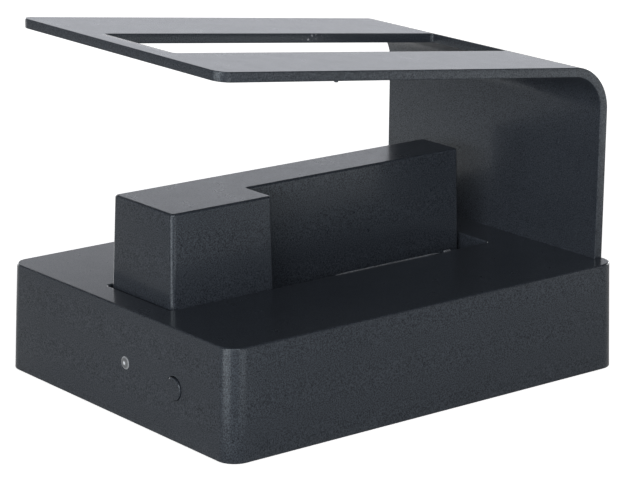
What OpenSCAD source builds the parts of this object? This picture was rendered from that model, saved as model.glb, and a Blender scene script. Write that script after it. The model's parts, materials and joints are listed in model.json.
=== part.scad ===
// Drive docking station: low base with a drive slot, a bent guide bracket over the slot, and an L-shaped
// adapter block that turns the large slot into a bay for a small drive.
// Front (lamp and button) faces -Y, the bracket stands at the rear, +Z is up, and the feet stand on z = 0.

/* [Base] */
// Width of the base at its foot
base_w = 97; // [94:0.5:110]
// Length of the base at its foot
base_l = 128; // [126:0.5:140]
// Height of the base's top face above the table
base_h = 28.85; // [28:0.05:34]
// Inset of each side at the top, from the draft of the walls
base_draft = 0.7; // [0.2:0.1:1]
// Radius of the upright corners
corner_r = 4.8; // [3.5:0.1:6]
// Rounding of the top edge
edge_r = 0.7; // [0.3:0.1:1.2]
// Wall thickness of the housing
wall_t = 2; // [1.6:0.1:2.2]
// Thickness of the bottom cover
cover_t = 2.2; // [2:0.1:2.6]
// Gap between the cover and the housing around it
cover_gap = 0.2; // [0.1:0.05:0.4]

/* [Drive slot] */
// Slot width, for a large drive's thickness
slot_w = 27.7; // [26.6:0.1:29]
// Slot centre, sideways from the middle of the base
slot_x = -0.75; // [-2:0.05:2]
// Margin from the base's front to the slot; the two margins leave a large drive's width and a little play
slot_front = 8.4; // [8:0.1:9]
// Margin from the slot to the base's rear
slot_rear = 14.4; // [14:0.1:15]
// Corner radius of the slot
slot_r = 1; // [0.6:0.1:1.4]
// Chamfer round the slot's rim
rim_c = 0.4; // [0.2:0.05:0.6]
// Wall and floor thickness of the well below the slot
well_t = 1.6; // [1.2:0.1:1.8]
// Height of the well floor above the circuit board
seat_rise = 3.8; // [3.4:0.1:5]

/* [Adapter block] */
// Height of the block's top above the base's top face
block_rise = 23.85; // [16:0.05:24]
// Gap to the slot's left side
block_gap_left = 1.2; // [0.4:0.1:2]
// Gap to the slot's right side
block_gap_right = 0.3; // [0.3:0.05:1]
// Gap to the slot's front end
block_gap_front = 0.6; // [0.5:0.1:1.5]
// Gap to the slot's rear end
block_gap_rear = 1; // [0.4:0.1:2]
// Thickness of the bay left for a small drive
bay_w = 10.9; // [10.5:0.1:12]
// Length of the bay left for a small drive
bay_l = 72.6; // [71:0.1:76]
// Inset of each side at the block's top, from the draft
block_draft = 0.55; // [0.2:0.05:0.8]
// Radius of the block's upright edges
block_r = 0.8; // [0.7:0.1:1.2]
// Radius of the inside corner where the block steps in
block_inner_r = 0.4; // [0.2:0.1:0.8]
// Rounding of the block's top edge
block_edge_r = 0.4; // [0.2:0.1:0.6]
// Wall thickness of the block
block_t = 1.6; // [1.2:0.1:2]
// Thickness of the ribs inside the block
block_rib_t = 1.2; // [0.8:0.1:1.6]

/* [Bracket] */
// Margin from the base's side to the bracket
bracket_side = 6.3; // [5.5:0.1:8]
// Plate thickness
plate_t = 2.5; // [1.8:0.1:2.6]
// Height of the sloping top face where it would meet the rear face
bracket_h = 79.8; // [74:0.1:90]
// Rise of the frame towards the front, in degrees
frame_slope = 6.5; // [4:0.1:8]
// Set-back of the frame's front end from the base's front
frame_setback = 1.65; // [0.5:0.05:3]
// Outer radius of the bend
bend_r = 12.6; // [8:0.1:12.8]
// Radius of the frame's front corners
frame_corner_r = 3.6; // [3:0.1:6]
// Width of the frame's opening
opening_w = 29.4; // [29:0.1:34]
// Lead of the frame's opening over the slot, at the slot's rear end
opening_lead = 2.55; // [1.5:0.05:3]
// Set-back of the opening's front end from the slot's front end
opening_trail = 0.25; // [0.1:0.05:0.5]
// Corner radius of the opening
opening_r = 0.8; // [0.5:0.1:1.5]
// Height of the bracket's foot above the rear ports
foot_clear = 2.4; // [2.3:0.05:3.2]
// Play of the bracket's foot in its recess
tab_gap = 0.2; // [0.1:0.05:0.3]
// Set-back of the bracket's rear face from the base's top rear edge
bracket_setback = 0.15; // [0:0.05:0.3]
// Gate mark under the right arm: diameter
gate_d = 1; // [0.8:0.1:1.2]
// Gate mark: depth below the arm
gate_h = 0.4; // [0.2:0.1:0.5]
// Gate mark: distance behind the frame's front end
gate_back = 35.2; // [20:0.1:60]

/* [Front controls] */
// Diameter of the push button
button_d = 5.6; // [5:0.1:6]
// Gap round the push button
button_gap = 0.28; // [0.2:0.02:0.4]
// Button centre, from the base's right side
button_side = 23.1; // [21:0.1:26]
// Button centre, above the table
button_z = 13.7; // [12.5:0.1:14.5]
// How far the button stands out of the front face
button_proud = 0.3; // [0.1:0.05:0.3]
// Travel of the push button
button_travel = 0.6; // [0.3:0.1:0.7]
// Diameter of the indicator lamp
led_d = 3.2; // [3:0.1:3.4]
// Gap round the indicator lamp
led_gap = 0.1; // [0.05:0.05:0.2]
// Lamp centre, left of the button
led_offset = 20.5; // [17:0.1:23]
// Lamp centre, above the table
led_z = 14.9; // [13:0.1:16]

/* [Circuit board] */
// Margin from the base's side to the main board
board_side = 11.5; // [11:0.5:13]
// Thickness of the main board
board_t = 1.6; // [1.2:0.1:1.8]
// Height of the posts under the main board
post_h = 1.6; // [1.4:0.1:2.2]
// Length of the drive connector
sata_l = 43; // [42:0.5:44]
// Thickness of the drive connector
sata_w = 6; // [5.6:0.1:6.2]
// Height of the drive connector above the board
sata_h = 8.5; // [8:0.1:9]
// Distance of the connector's middle from the slot's right side
sata_inset = 4.3; // [4:0.1:4.6]
// Distance of the connector's rear end from the slot's rear end
sata_back = 7; // [6:0.1:9]

/* [Rear ports] */
// Data port centre, from the base's left side
usb_side = 18.5; // [18:0.5:21]
// Power jack centre, from the base's right side
jack_side = 18.5; // [18:0.5:21]
// Diameter of the power jack's bore
jack_bore_d = 6.2; // [5.8:0.1:6.4]
// Diameter of the power jack's pin
jack_pin_d = 2; // [1.8:0.1:2.4]
// Gap round each port in the rear wall
port_gap = 0.25; // [0.1:0.05:0.3]

/* [Feet and fasteners] */
// Diameter of the rubber feet
foot_d = 10; // [8:0.5:11]
// Height of the housing's lower edge above the table
foot_lift = 0.4; // [0.3:0.1:1]
// Depth of the feet's recesses in the cover
foot_sink = 0.6; // [0.4:0.1:0.8]
// Shank diameter of the screws
screw_d = 2.6; // [2.4:0.1:2.8]
// Play of a screw shank in its hole
screw_gap = 0.1; // [0.05:0.05:0.2]
// Head diameter of the screws
head_d = 4.8; // [4.4:0.1:5]
// Head height of the screws
head_h = 1.2; // [1:0.1:1.3]
// Diameter of the screw bosses
boss_d = 7; // [6.5:0.1:7.4]

/* [Hidden] */

$fn = 48;
hull_fn = 32;
skin = 0.01;
over = 1;
min_r = 0.2;

// Plans of the base and the slot, as [low, high] along X and Y
base_x = [-base_w / 2, base_w / 2];
base_y = [-base_l / 2, base_l / 2];
slot_xs = [slot_x - slot_w / 2, slot_x + slot_w / 2];
slot_ys = [slot_front - base_l / 2, base_l / 2 - slot_rear];

// Heights
cover_top = foot_lift + cover_t;
board_z = cover_top + post_h;
board_top = board_z + board_t;
seat_z = board_top + seat_rise;
well_z = seat_z - well_t;
roof_z = base_h - wall_t;
block_top = base_h + block_rise;
jack_h = 11;

// Adapter block at the level of the base's top face
block_xs = [slot_xs[0] + block_gap_left, slot_xs[1] - block_gap_right];
block_ys = [slot_ys[0] + block_gap_front, slot_ys[1] - block_gap_rear];
bay_x = slot_xs[1] - bay_w;
bay_y = slot_ys[1] - bay_l;
rib_count = 4;
corner_steps = 4;

// Bracket
bracket_w = base_w - 2 * bracket_side;
bracket_y = base_l / 2 - base_draft - bracket_setback;
tab_y = bracket_y - plate_t;
tab_z = board_top + jack_h + foot_clear;
bend_y = bracket_y - bend_r;
bend_z = bracket_h + bend_r * tan(frame_slope) - bend_r / cos(frame_slope);
bend_steps = 24;
frame_front = frame_setback - base_l / 2;
opening_ys = [slot_ys[0] + opening_trail, slot_ys[1] + opening_lead];
recess_z = tab_z - tab_gap;
recess_half_w = bracket_w / 2 + tab_gap;
bracket_screw_side = 8.2;
bracket_screw_pitch = 20;
bracket_screw_xs = [for (sx = [-1, 1], i = [0, 1])
    sx * (bracket_w / 2 - bracket_screw_side - i * bracket_screw_pitch)];
bracket_screw_z = (tab_z + base_h) / 2;
bracket_screw_l = 7.5;
bracket_boss_d = 6.4;
countersink_d = 4.8;
countersink_h = 1.2;

// Screws, feet and posts
screw_hole_d = screw_d + screw_gap;
head_gap = 0.2;
head_hole_d = head_d + 2 * head_gap;
cross_l = 2.4;
cross_w = 0.55;
cross_depth = 0.7;
boss_inset = 1.4;
boss_x = base_w / 2 - wall_t - boss_d / 2 - boss_inset;
boss_front = 10;
boss_rear = 20;
cover_boss_spots = [for (sx = [-1, 1], y = [boss_front - base_l / 2, base_l / 2 - boss_rear]) [sx * boss_x, y]];
cover_screw_l = 9;
foot_inset = [16.5, 14];
foot_spots = [for (sx = [-1, 1], sy = [-1, 1])
    [sx * (base_w / 2 - foot_inset[0]), sy * (base_l / 2 - foot_inset[1])]];
foot_taper = 0.4;
post_d = 6.5;
board_w = base_w - 2 * board_side;
post_inset = 4;
post_front = 22;
post_rear = 24;
post_ys = [post_front - base_l / 2, base_l / 2 - post_rear];
post_floor = 1;
post_spots = [for (sx = [-1, 1], y = post_ys) [sx * (board_w / 2 - post_inset), y]];
board_screw_l = 3.2;
vent_w = 2;
vent_l = 26;
vent_pitch = 5;
vent_count = 7;
vent_row_y = 22;

// Button, switch and lamp, along Y from the front face inwards
button_x = base_w / 2 - button_side;
button_y = -face_y(button_z);
button_edge = 0.3;
button_boss_d = 10;
button_boss_out = 1.1;
button_seat_y = button_y + wall_t + button_boss_out;
button_flange_d = 8.4;
button_flange_t = 1;
stem_d = 3;
stem_l = 2;
plunger_d = 3.2;
plunger_out = 1.2;
plunger_in = 0.9;
plunger_gap = 0.2;
plunger_y = button_seat_y + button_flange_t + stem_l;
switch_y = plunger_y + plunger_out;
switch_s = 6;
switch_h = 3.5;
switch_board_y = switch_y + switch_h;
switch_board_t = 1.2;
switch_board_w = 12;
switch_board_above = 6;
switch_board_h = button_z + switch_board_above - board_top;
header_l = 10.2;
header_s = 2.5;
led_x = button_x - led_offset;
led_y = -face_y(led_z);
led_dome_h = 0.3;
led_collar_out = 1.65;
led_collar_t = 1.1;
led_rim = 0.4;
led_seat_y = led_y + wall_t + led_collar_out;
led_collar_d = led_d + 2 * led_collar_t;
led_flange_d = led_d + 2 * led_rim;
led_flange_t = 0.9;
lead_t = 0.5;
lead_pitch = 2.54;

// Main board
board_front = 3.5;
board_rear = 2.7;
board_y = [board_front - base_l / 2, base_l / 2 - board_rear];
board_gap = 0.2;
board_corner_r = 1.5;

// Drive connector
sata_x = slot_xs[1] - sata_inset;
sata_ys = [slot_ys[1] - sata_back - sata_l, slot_ys[1] - sata_back];
sata_window_gap = 0.3;
sata_key_w = 2.4;
sata_key_l = 1.4;
sata_key_out = 1;
sata_depth = 5;
sata_ear = 3.6;
sata_signal_l = 11;
sata_rib = 2.4;
sata_power_l = sata_l - 2 * sata_ear - sata_signal_l - sata_rib;
contact_pitch = 1.27;
contact_w = 0.8;
contact_t = 0.3;
contact_h = 4.2;
signal_count = 7;
power_count = 15;

// Ports
usb_x = base_w / 2 - usb_side;
jack_x = base_w / 2 - jack_side;
port_level = 5.5;
port_setback = 0.5;
port_y = face_y(board_top + port_level) - port_setback;
usb_w = 12;
usb_l = 16;
usb_h = 10.9;
usb_sheet = 0.35;
usb_mouth_w = 8.5;
usb_mouth_h = 7.8;
usb_mouth_c = 1.7;
usb_depth = 9;
usb_tongue_w = 5.6;
usb_tongue_h = 3.1;
usb_tongue_l = 8.4;
usb_strip_w = 1;
usb_strip_t = 0.2;
usb_strip_end = 1;
jack_w = 9;
jack_l = 14;
jack_flange_l = 3.4;
jack_body_d = 8;
jack_depth = 10;
jack_axis_h = 6.5;
jack_axis_z = board_top + jack_axis_h;
jack_pin_back = 1;
jack_pin_tip = 0.6;
jack_spring_w = 2.4;
jack_spring_t = 0.4;
jack_spring_drop = 0.8;
jack_spring_back = 2.5;
jack_groove_back = 2;
jack_groove_gap = 0.1;

// Parts on the main board, as centres from its left or right edge and from its middle
chip_inset = 10;
chip_y = 10;
chip_s = 9;
chip_h = 1.2;
chip_corner_r = 0.4;
chip_at = [chip_inset - board_w / 2, chip_y];
chip_lead_l = 1;
chip_lead_w = 0.25;
chip_lead_t = 0.2;
chip_lead_count = 12;
chip_lead_pitch = 0.6;
flash_y = -8;
flash_at = [chip_inset - board_w / 2, flash_y];
flash_size = [5, 4, 1.6];
crystal_y = 25;
crystal_at = [chip_inset - board_w / 2, crystal_y];
crystal_size = [11, 4.6, 3.6];
inductor_inset = 13;
inductor_ys = [14, 3];
inductor_spots = [for (y = inductor_ys) [board_w / 2 - inductor_inset, y]];
inductor_s = 6.6;
inductor_h = 3;
inductor_dish = 0.6;
inductor_rim = 1;
inductor_corner_r = 1.2;
regulator_inset = 12;
regulator_y = -10;
regulator_at = [board_w / 2 - regulator_inset, regulator_y];
regulator_size = [6.5, 3.5, 1.7];
regulator_tab = [3, 1.6, 0.4];
capacitor_inset = 11;
capacitor_ys = [36, 26, -24];
capacitor_spots = [for (y = capacitor_ys) [board_w / 2 - capacitor_inset, y]];
capacitor_d = 6.3;
capacitor_h = 7.7;
capacitor_base_h = 1;
capacitor_base_s = 6.6;
capacitor_corner_r = 1;
resistor_insets = [2, 17.5];
resistor_right_inset = 5;
resistor_y = 2;
resistor_pitch = 4;
resistor_count = 5;
resistor_xs = concat([for (v = resistor_insets) v - board_w / 2], [board_w / 2 - resistor_right_inset]);
resistor_spots = [for (x = resistor_xs, i = [0 : resistor_count - 1]) [x, resistor_y + i * resistor_pitch]];
resistor_size = [2, 1.25, 0.6];

black = "#2b2d31";
steel = "#b9bcc0";

// Distance of the drafted outer wall from the middle plane, front and rear, at height z
function face_y(z) = base_l / 2 - base_draft * (z - foot_lift) / (base_h - edge_r - foot_lift);

// Quarter-round of radius e that ends an inset side at height z, as [height, inset, tightening] levels
function round_levels(z, inset, e) = [for (a = [0 : 30 : 90])
    let (k = e * (1 - cos(a))) [z - e + e * sin(a), inset + k, k]];

// Upright box with round corners, lofted through levels of [height, inset of sides, tightening of corners]
module lofted_box(x, y, r, levels) {
    hull()
        for (i = [0 : len(levels) - 1], sx = [0, 1], sy = [0, 1])
            let (rr = max(r - levels[i][2], min_r), m = levels[i][1] + rr)
                translate([sx == 0 ? x[0] + m : x[1] - m, sy == 0 ? y[0] + m : y[1] - m,
                    levels[i][0] - (i == 0 ? 0 : skin)])
                    cylinder(r = rr, h = skin, $fn = hull_fn);
}

// Flat rectangle with round corners
module rounded_plan(x, y, r) {
    translate([x[0] + r, y[0]]) square([x[1] - x[0] - 2 * r, y[1] - y[0]]);
    translate([x[0], y[0] + r]) square([x[1] - x[0], y[1] - y[0] - 2 * r]);
    for (px = [x[0] + r, x[1] - r], py = [y[0] + r, y[1] - r])
        translate([px, py]) circle(r = r);
}

// Box between two corners
module span(lo, hi) {
    translate(lo) cube(hi - lo);
}

// Cylinder along +Y from the point given
module along_y(at, d, h) {
    translate(at) rotate([-90, 0, 0]) cylinder(d = d, h = h);
}

// Cross recess in a screw head whose outer face is at z = 0 and looks down
module cross_recess() {
    for (a = [0, 90])
        rotate(a) translate([-cross_l / 2, -cross_w / 2, -over]) cube([cross_l, cross_w, over + cross_depth]);
}

// Screw with its head's seat at z = 0, head below and shank above, with a cross recess
module pan_screw(length) {
    difference() {
        union() {
            translate([0, 0, -head_h]) cylinder(d = head_d, h = head_h);
            cylinder(d = screw_d, h = length);
        }
        translate([0, 0, -head_h]) cross_recess();
    }
}

// Boss that hangs from the housing's roof to the bottom cover
module cover_boss(at) {
    translate([at[0], at[1], cover_top]) cylinder(d = boss_d, h = base_h - wall_t / 2 - cover_top);
}

// Well below the slot, before it is hollowed
module well_block() {
    span([slot_xs[0] - well_t, slot_ys[0] - well_t, well_z],
        [slot_xs[1] + well_t, slot_ys[1] + well_t, base_h - wall_t / 2]);
}

// Material behind and below the recess for the bracket's foot
module recess_backing() {
    span([-recess_half_w - wall_t, tab_y - wall_t, recess_z - wall_t],
        [recess_half_w + wall_t, base_l / 2 - base_draft - wall_t / 2, base_h - wall_t / 2]);
}

module top_shell() {
    color(black)
        difference() {
            union() {
                difference() {
                    lofted_box(base_x, base_y, corner_r,
                        concat([[foot_lift, 0, 0]], round_levels(base_h, base_draft, edge_r)));
                    lofted_box(base_x, base_y, corner_r,
                        [[foot_lift - over, wall_t, wall_t], [roof_z, base_draft + wall_t, wall_t]]);
                }
                well_block();
                recess_backing();
                for (p = cover_boss_spots) cover_boss(p);
                for (x = bracket_screw_xs)
                    along_y([x, tab_y - bracket_screw_l, bracket_screw_z], bracket_boss_d, bracket_screw_l);
                along_y([button_x, button_y + wall_t / 2, button_z], button_boss_d,
                    button_seat_y - button_y - wall_t / 2);
                along_y([led_x, led_y + wall_t / 2, led_z], led_collar_d, led_seat_y - led_y - wall_t / 2);
            }
            translate([0, 0, seat_z]) linear_extrude(base_h) rounded_plan(slot_xs, slot_ys, slot_r);
            lofted_box(slot_xs, slot_ys, slot_r,
                [[base_h - rim_c, 0, 0], [base_h + over, -rim_c - over, -rim_c - over]]);
            span([sata_x - sata_w / 2 - sata_window_gap, sata_ys[0] - sata_window_gap, well_z - over],
                [sata_x + sata_w / 2 + sata_window_gap, sata_ys[1] + sata_window_gap, seat_z + over]);
            span([-recess_half_w, tab_y, recess_z], [recess_half_w, base_l, base_h + over]);
            for (x = bracket_screw_xs)
                along_y([x, tab_y - bracket_screw_l + over, bracket_screw_z], screw_hole_d, bracket_screw_l);
            for (p = cover_boss_spots)
                translate([p[0], p[1], cover_top - over]) cylinder(d = screw_hole_d, h = cover_screw_l + over);
            along_y([button_x, -base_l, button_z], button_d + 2 * button_gap, base_l);
            along_y([led_x, -base_l, led_z], led_d + 2 * led_gap, base_l + led_seat_y);
            span([-usb_x - usb_w / 2 - port_gap, port_y - usb_l, board_top - port_gap],
                [-usb_x + usb_w / 2 + port_gap, base_l, board_top + usb_h + port_gap]);
            span([jack_x - jack_w / 2 - port_gap, port_y - jack_l, board_top - port_gap],
                [jack_x + jack_w / 2 + port_gap, base_l, board_top + jack_h + port_gap]);
        }
}

module bottom_cover() {
    edge = wall_t + cover_gap;
    color("#26282b")
        difference() {
            union() {
                translate([0, 0, foot_lift]) linear_extrude(cover_t)
                    rounded_plan([base_x[0] + edge, base_x[1] - edge], [base_y[0] + edge, base_y[1] - edge],
                        corner_r - wall_t);
                for (p = post_spots)
                    translate([p[0], p[1], foot_lift]) cylinder(d = post_d, h = cover_t + post_h);
            }
            for (p = post_spots)
                translate([p[0], p[1], foot_lift + post_floor]) cylinder(d = screw_hole_d, h = board_top);
            for (p = foot_spots)
                translate([p[0], p[1], foot_lift - over])
                    cylinder(d = foot_d + 2 * cover_gap, h = foot_sink + over);
            for (p = cover_boss_spots)
                translate([p[0], p[1], foot_lift - over]) {
                    cylinder(d = head_hole_d, h = over + head_h);
                    cylinder(d = screw_hole_d, h = over + cover_t + over);
                }
            for (i = [0 : vent_count - 1], sy = [-1, 1])
                translate([(i - (vent_count - 1) / 2) * vent_pitch, sy * vent_row_y, foot_lift - over])
                    linear_extrude(cover_t + 2 * over)
                        rounded_plan([-vent_w / 2, vent_w / 2], [-vent_l / 2, vent_l / 2], vent_w / 2 - skin);
        }
}

// Arc of radius r about the bend's middle, from the wall up to the sloping plate, as Y and Z
function bend_arc(r) = [for (i = [0 : bend_steps])
    let (a = i * (90 - frame_slope) / bend_steps) [bend_y + r * cos(a), bend_z + r * sin(a)]];

// Front end of the sloping plate, at the distance r from the bend's middle
function plate_end(r) = let (run = 2 * base_l)
    [bend_y + r * sin(frame_slope) - run * cos(frame_slope),
        bend_z + r * cos(frame_slope) + run * sin(frame_slope)];

// Side profile of the bracket, drawn as Y and Z: foot, wall, bend and plate in one outline
module bracket_profile() {
    inner_r = bend_r - plate_t;
    inner_arc = bend_arc(inner_r);
    polygon(concat([[tab_y, tab_z], [bracket_y, tab_z]], bend_arc(bend_r),
        [plate_end(bend_r), plate_end(inner_r)], [for (i = [bend_steps : -1 : 0]) inner_arc[i]]));
}

module drive_bracket() {
    gate_y = frame_front + gate_back;
    gate_z = bracket_h + (bracket_y - gate_y) * tan(frame_slope) - plate_t / cos(frame_slope);
    color(black)
        difference() {
            union() {
                intersection() {
                    translate([-bracket_w / 2, 0, 0])
                        rotate([90, 0, 90]) linear_extrude(bracket_w) bracket_profile();
                    linear_extrude(2 * bracket_h)
                        rounded_plan([-bracket_w / 2, bracket_w / 2],
                            [frame_front, bracket_y + 2 * frame_corner_r], frame_corner_r);
                }
                translate([bracket_w / 2 - gate_d, gate_y, gate_z - gate_h])
                    cylinder(d = gate_d, h = gate_h + plate_t / 2);
            }
            translate([0, 0, base_h]) linear_extrude(2 * bracket_h)
                rounded_plan([-opening_w / 2, opening_w / 2], opening_ys, opening_r);
            for (x = bracket_screw_xs) {
                along_y([x, tab_y - over, bracket_screw_z], screw_hole_d, plate_t + 2 * over);
                translate([x, bracket_y - countersink_h, bracket_screw_z]) rotate([-90, 0, 0])
                    cylinder(d1 = screw_hole_d, d2 = countersink_d + screw_gap, h = countersink_h);
            }
        }
}

// Corners of the block's L seen from above, anticlockwise, as [x, y, way in along X, way in along Y, start
// angle, turn]. A turn below zero is the inside corner of the L.
block_corners = [
    [block_xs[0], block_ys[0], 1, 1, 180, 90],
    [block_xs[1], block_ys[0], -1, 1, 270, 90],
    [block_xs[1], bay_y, -1, -1, 0, 90],
    [bay_x, bay_y, 1, 1, 270, -90],
    [bay_x, block_ys[1], -1, -1, 0, 90],
    [block_xs[0], block_ys[1], 1, -1, 90, 90]];

// The L's outline at a level of [height, inset of the sides, tightening of the corners]
function block_ring(v) = [for (c = block_corners, i = [0 : corner_steps])
    let (a = c[4] + c[5] * i / corner_steps,
        r = c[5] > 0 ? max(block_r - v[2], min_r) : block_inner_r + v[2],
        m = c[5] > 0 ? r + v[1] : r - v[1])
    [c[0] + c[2] * m + r * cos(a), c[1] + c[3] * m + r * sin(a), v[0]]];

// Two triangles for each step round a pair of rings of n points that start at points a and b
function ring_faces(a, b, n) = [for (j = [0 : n - 1], half = [0, 1])
    let (k = (j + 1) % n) half == 0 ? [a + j, b + j, b + k] : [a + j, b + k, a + k]];

// Fan of triangles over a ring of n points that starts at point a; the ring's first point sees all the others
function fan_faces(a, n, up) = [for (j = [1 : n - 2]) up ? [a, a + j + 1, a + j] : [a, a + j, a + j + 1]];

// Hollow L, open below: rings climb the outside, close over the top, and come down the inside to the foot
module block_shell() {
    outer = concat([[seat_z, 0, 0], [base_h, 0, 0]], round_levels(block_top, block_draft, block_edge_r));
    inner = [[block_top - block_t, block_draft + block_t, block_t], [base_h, block_t, block_t],
        [seat_z, block_t, block_t]];
    rings = [for (v = concat(outer, inner)) block_ring(v)];
    n = len(rings[0]);
    top = len(outer) - 1;
    last = len(rings) - 1;
    walls = [for (i = [0 : last]) if (i != top) each ring_faces(i * n, (i == last ? 0 : i + 1) * n, n)];
    roof = fan_faces(top * n, n, true);
    ceiling = fan_faces((top + 1) * n, n, false);
    polyhedron(points = [for (r = rings) each r], faces = concat(walls, roof, ceiling));
}

module adapter_block() {
    rib_step = (block_ys[1] - block_ys[0]) / (rib_count + 1);
    sink = block_t / 2;
    color("#303236")
        union() {
            block_shell();
            for (i = [1 : rib_count])
                let (y = block_ys[0] + i * rib_step)
                    span([block_xs[0] + block_draft + sink, y - block_rib_t / 2, base_h],
                        [bay_x - block_draft - sink, y + block_rib_t / 2, block_top - sink]);
        }
}

module power_button() {
    seat = button_seat_y - button_y + button_proud;
    back = seat + button_flange_t;
    color(black)
        translate([button_x, button_y - button_proud, button_z]) rotate([-90, 0, 0]) rotate_extrude()
            polygon([[0, 0], [button_d / 2 - button_edge, 0], [button_d / 2, button_edge], [button_d / 2, seat],
                [button_flange_d / 2, seat], [button_flange_d / 2, back], [stem_d / 2, back],
                [stem_d / 2, back + stem_l], [0, back + stem_l]]);
}

module switch_plunger() {
    color("#d8d2c4") along_y([button_x, plunger_y, button_z], plunger_d, plunger_out + plunger_in);
}

module tact_switch() {
    color("#1d1e20")
        difference() {
            span([button_x - switch_s / 2, switch_y, button_z - switch_s / 2],
                [button_x + switch_s / 2, switch_y + switch_h, button_z + switch_s / 2]);
            along_y([button_x, switch_y - over, button_z], plunger_d + 2 * plunger_gap,
                over + plunger_in + button_travel + plunger_gap);
        }
}

module switch_board() {
    color("#1f5a33")
        span([button_x - switch_board_w / 2, switch_board_y, board_top],
            [button_x + switch_board_w / 2, switch_board_y + switch_board_t, board_top + switch_board_h]);
}

module switch_header() {
    color("#1d1e20")
        span([button_x - header_l / 2, switch_board_y + switch_board_t, board_top],
            [button_x + header_l / 2, switch_board_y + switch_board_t + header_s, board_top + header_s]);
}

module main_board() {
    color("#1f5a33")
        difference() {
            translate([0, 0, board_z]) linear_extrude(board_t)
                rounded_plan([-board_w / 2, board_w / 2], board_y, board_corner_r);
            for (p = post_spots)
                translate([p[0], p[1], board_z - over])
                    cylinder(d = screw_hole_d + 2 * board_gap, h = board_t + 2 * over);
        }
}

// The connector's two keyed cavities, from depth below its top
module sata_cavities() {
    z = board_top + sata_h - sata_depth;
    signal_y = sata_ys[1] - sata_ear - sata_signal_l;
    power_y = sata_ys[0] + sata_ear;
    for (c = [[signal_y, sata_signal_l], [power_y, sata_power_l]]) {
        span([sata_x - sata_key_w / 2, c[0], z], [sata_x + sata_key_w / 2, c[0] + c[1], z + sata_depth + over]);
        span([sata_x - sata_key_w / 2, c[0] + c[1] - sata_key_l, z],
            [sata_x + sata_key_w / 2 + sata_key_out, c[0] + c[1], z + sata_depth + over]);
    }
}

module sata_receptacle() {
    color("#1a1b1d")
        difference() {
            span([sata_x - sata_w / 2, sata_ys[0], board_top],
                [sata_x + sata_w / 2, sata_ys[1], board_top + sata_h]);
            sata_cavities();
            for (y = [sata_ys[0] - over, sata_ys[1] - sata_ear / 2])
                span([sata_x - sata_w / 2 - over, y, board_top + sata_h - sata_depth],
                    [sata_x - sata_w / 4, y + sata_ear / 2 + over, board_top + sata_h + over]);
        }
}

module sata_contacts() {
    z = board_top + sata_h - sata_depth;
    signal_y = sata_ys[1] - sata_ear - sata_signal_l / 2;
    power_y = sata_ys[0] + sata_ear + sata_power_l / 2;
    color("#c9a24a")
        for (row = [[signal_y, signal_count], [power_y, power_count]], i = [0 : row[1] - 1])
            let (y = row[0] + (i - (row[1] - 1) / 2) * contact_pitch)
                span([sata_x - sata_key_w / 2, y - contact_w / 2, z],
                    [sata_x - sata_key_w / 2 + contact_t, y + contact_w / 2, z + contact_h]);
}

// Mouth of the data port, drawn as X and Z about its middle
module usb_mouth() {
    w = usb_mouth_w / 2;
    h = usb_mouth_h / 2;
    polygon([[-w, -h], [w, -h], [w, h - usb_mouth_c], [w - usb_mouth_c, h], [-w + usb_mouth_c, h],
        [-w, h - usb_mouth_c]]);
}

module usb_port_shell() {
    s = usb_sheet;
    color(steel)
        difference() {
            span([-usb_x - usb_w / 2, port_y - usb_l, board_top],
                [-usb_x + usb_w / 2, port_y, board_top + usb_h]);
            span([-usb_x - usb_w / 2 + s, port_y - usb_l - over, board_top + s],
                [-usb_x + usb_w / 2 - s, port_y - s, board_top + usb_h - s]);
            translate([-usb_x, port_y + over, board_top + usb_h / 2]) rotate([90, 0, 0])
                linear_extrude(usb_depth) usb_mouth();
        }
}

module usb_port_insert() {
    s = usb_sheet;
    mid_z = board_top + usb_h / 2;
    color("#f0eee8")
        union() {
            difference() {
                span([-usb_x - usb_w / 2 + s, port_y - usb_l, board_top + s],
                    [-usb_x + usb_w / 2 - s, port_y - s, board_top + usb_h - s]);
                translate([-usb_x, port_y + over, mid_z]) rotate([90, 0, 0])
                    linear_extrude(usb_depth + over) usb_mouth();
            }
            span([-usb_x - usb_tongue_w / 2, port_y - usb_depth - over, mid_z - usb_tongue_h / 2],
                [-usb_x + usb_tongue_w / 2, port_y - usb_depth + usb_tongue_l, mid_z + usb_tongue_h / 2]);
        }
}

module usb_contacts() {
    mid_z = board_top + usb_h / 2;
    strip_y = [port_y - usb_depth, port_y - usb_depth + usb_tongue_l - usb_strip_end];
    color("#c9a24a")
        for (sx = [-1, 1], z = [mid_z - usb_tongue_h / 2 - usb_strip_t, mid_z + usb_tongue_h / 2])
            let (x = -usb_x + sx * usb_tongue_w / 4)
                span([x - usb_strip_w / 2, strip_y[0], z], [x + usb_strip_w / 2, strip_y[1], z + usb_strip_t]);
}

// Underside of the jack's leaf spring, on the floor of its groove below the bore
function jack_spring_z() = jack_axis_z - jack_bore_d / 2 - jack_spring_drop;

module dc_jack_body() {
    color("#1a1b1d")
        difference() {
            union() {
                span([jack_x - jack_w / 2, port_y - jack_flange_l, board_top],
                    [jack_x + jack_w / 2, port_y, board_top + jack_h]);
                along_y([jack_x, port_y - jack_l, jack_axis_z], jack_body_d, jack_l);
                span([jack_x - jack_body_d / 2, port_y - jack_l, board_top],
                    [jack_x + jack_body_d / 2, port_y, jack_axis_z]);
            }
            along_y([jack_x, port_y - jack_depth, jack_axis_z], jack_bore_d, jack_depth + over);
            span([jack_x - jack_spring_w / 2 - jack_groove_gap, port_y - jack_depth, jack_spring_z()],
                [jack_x + jack_spring_w / 2 + jack_groove_gap, port_y - jack_groove_back, jack_axis_z]);
        }
}

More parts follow.
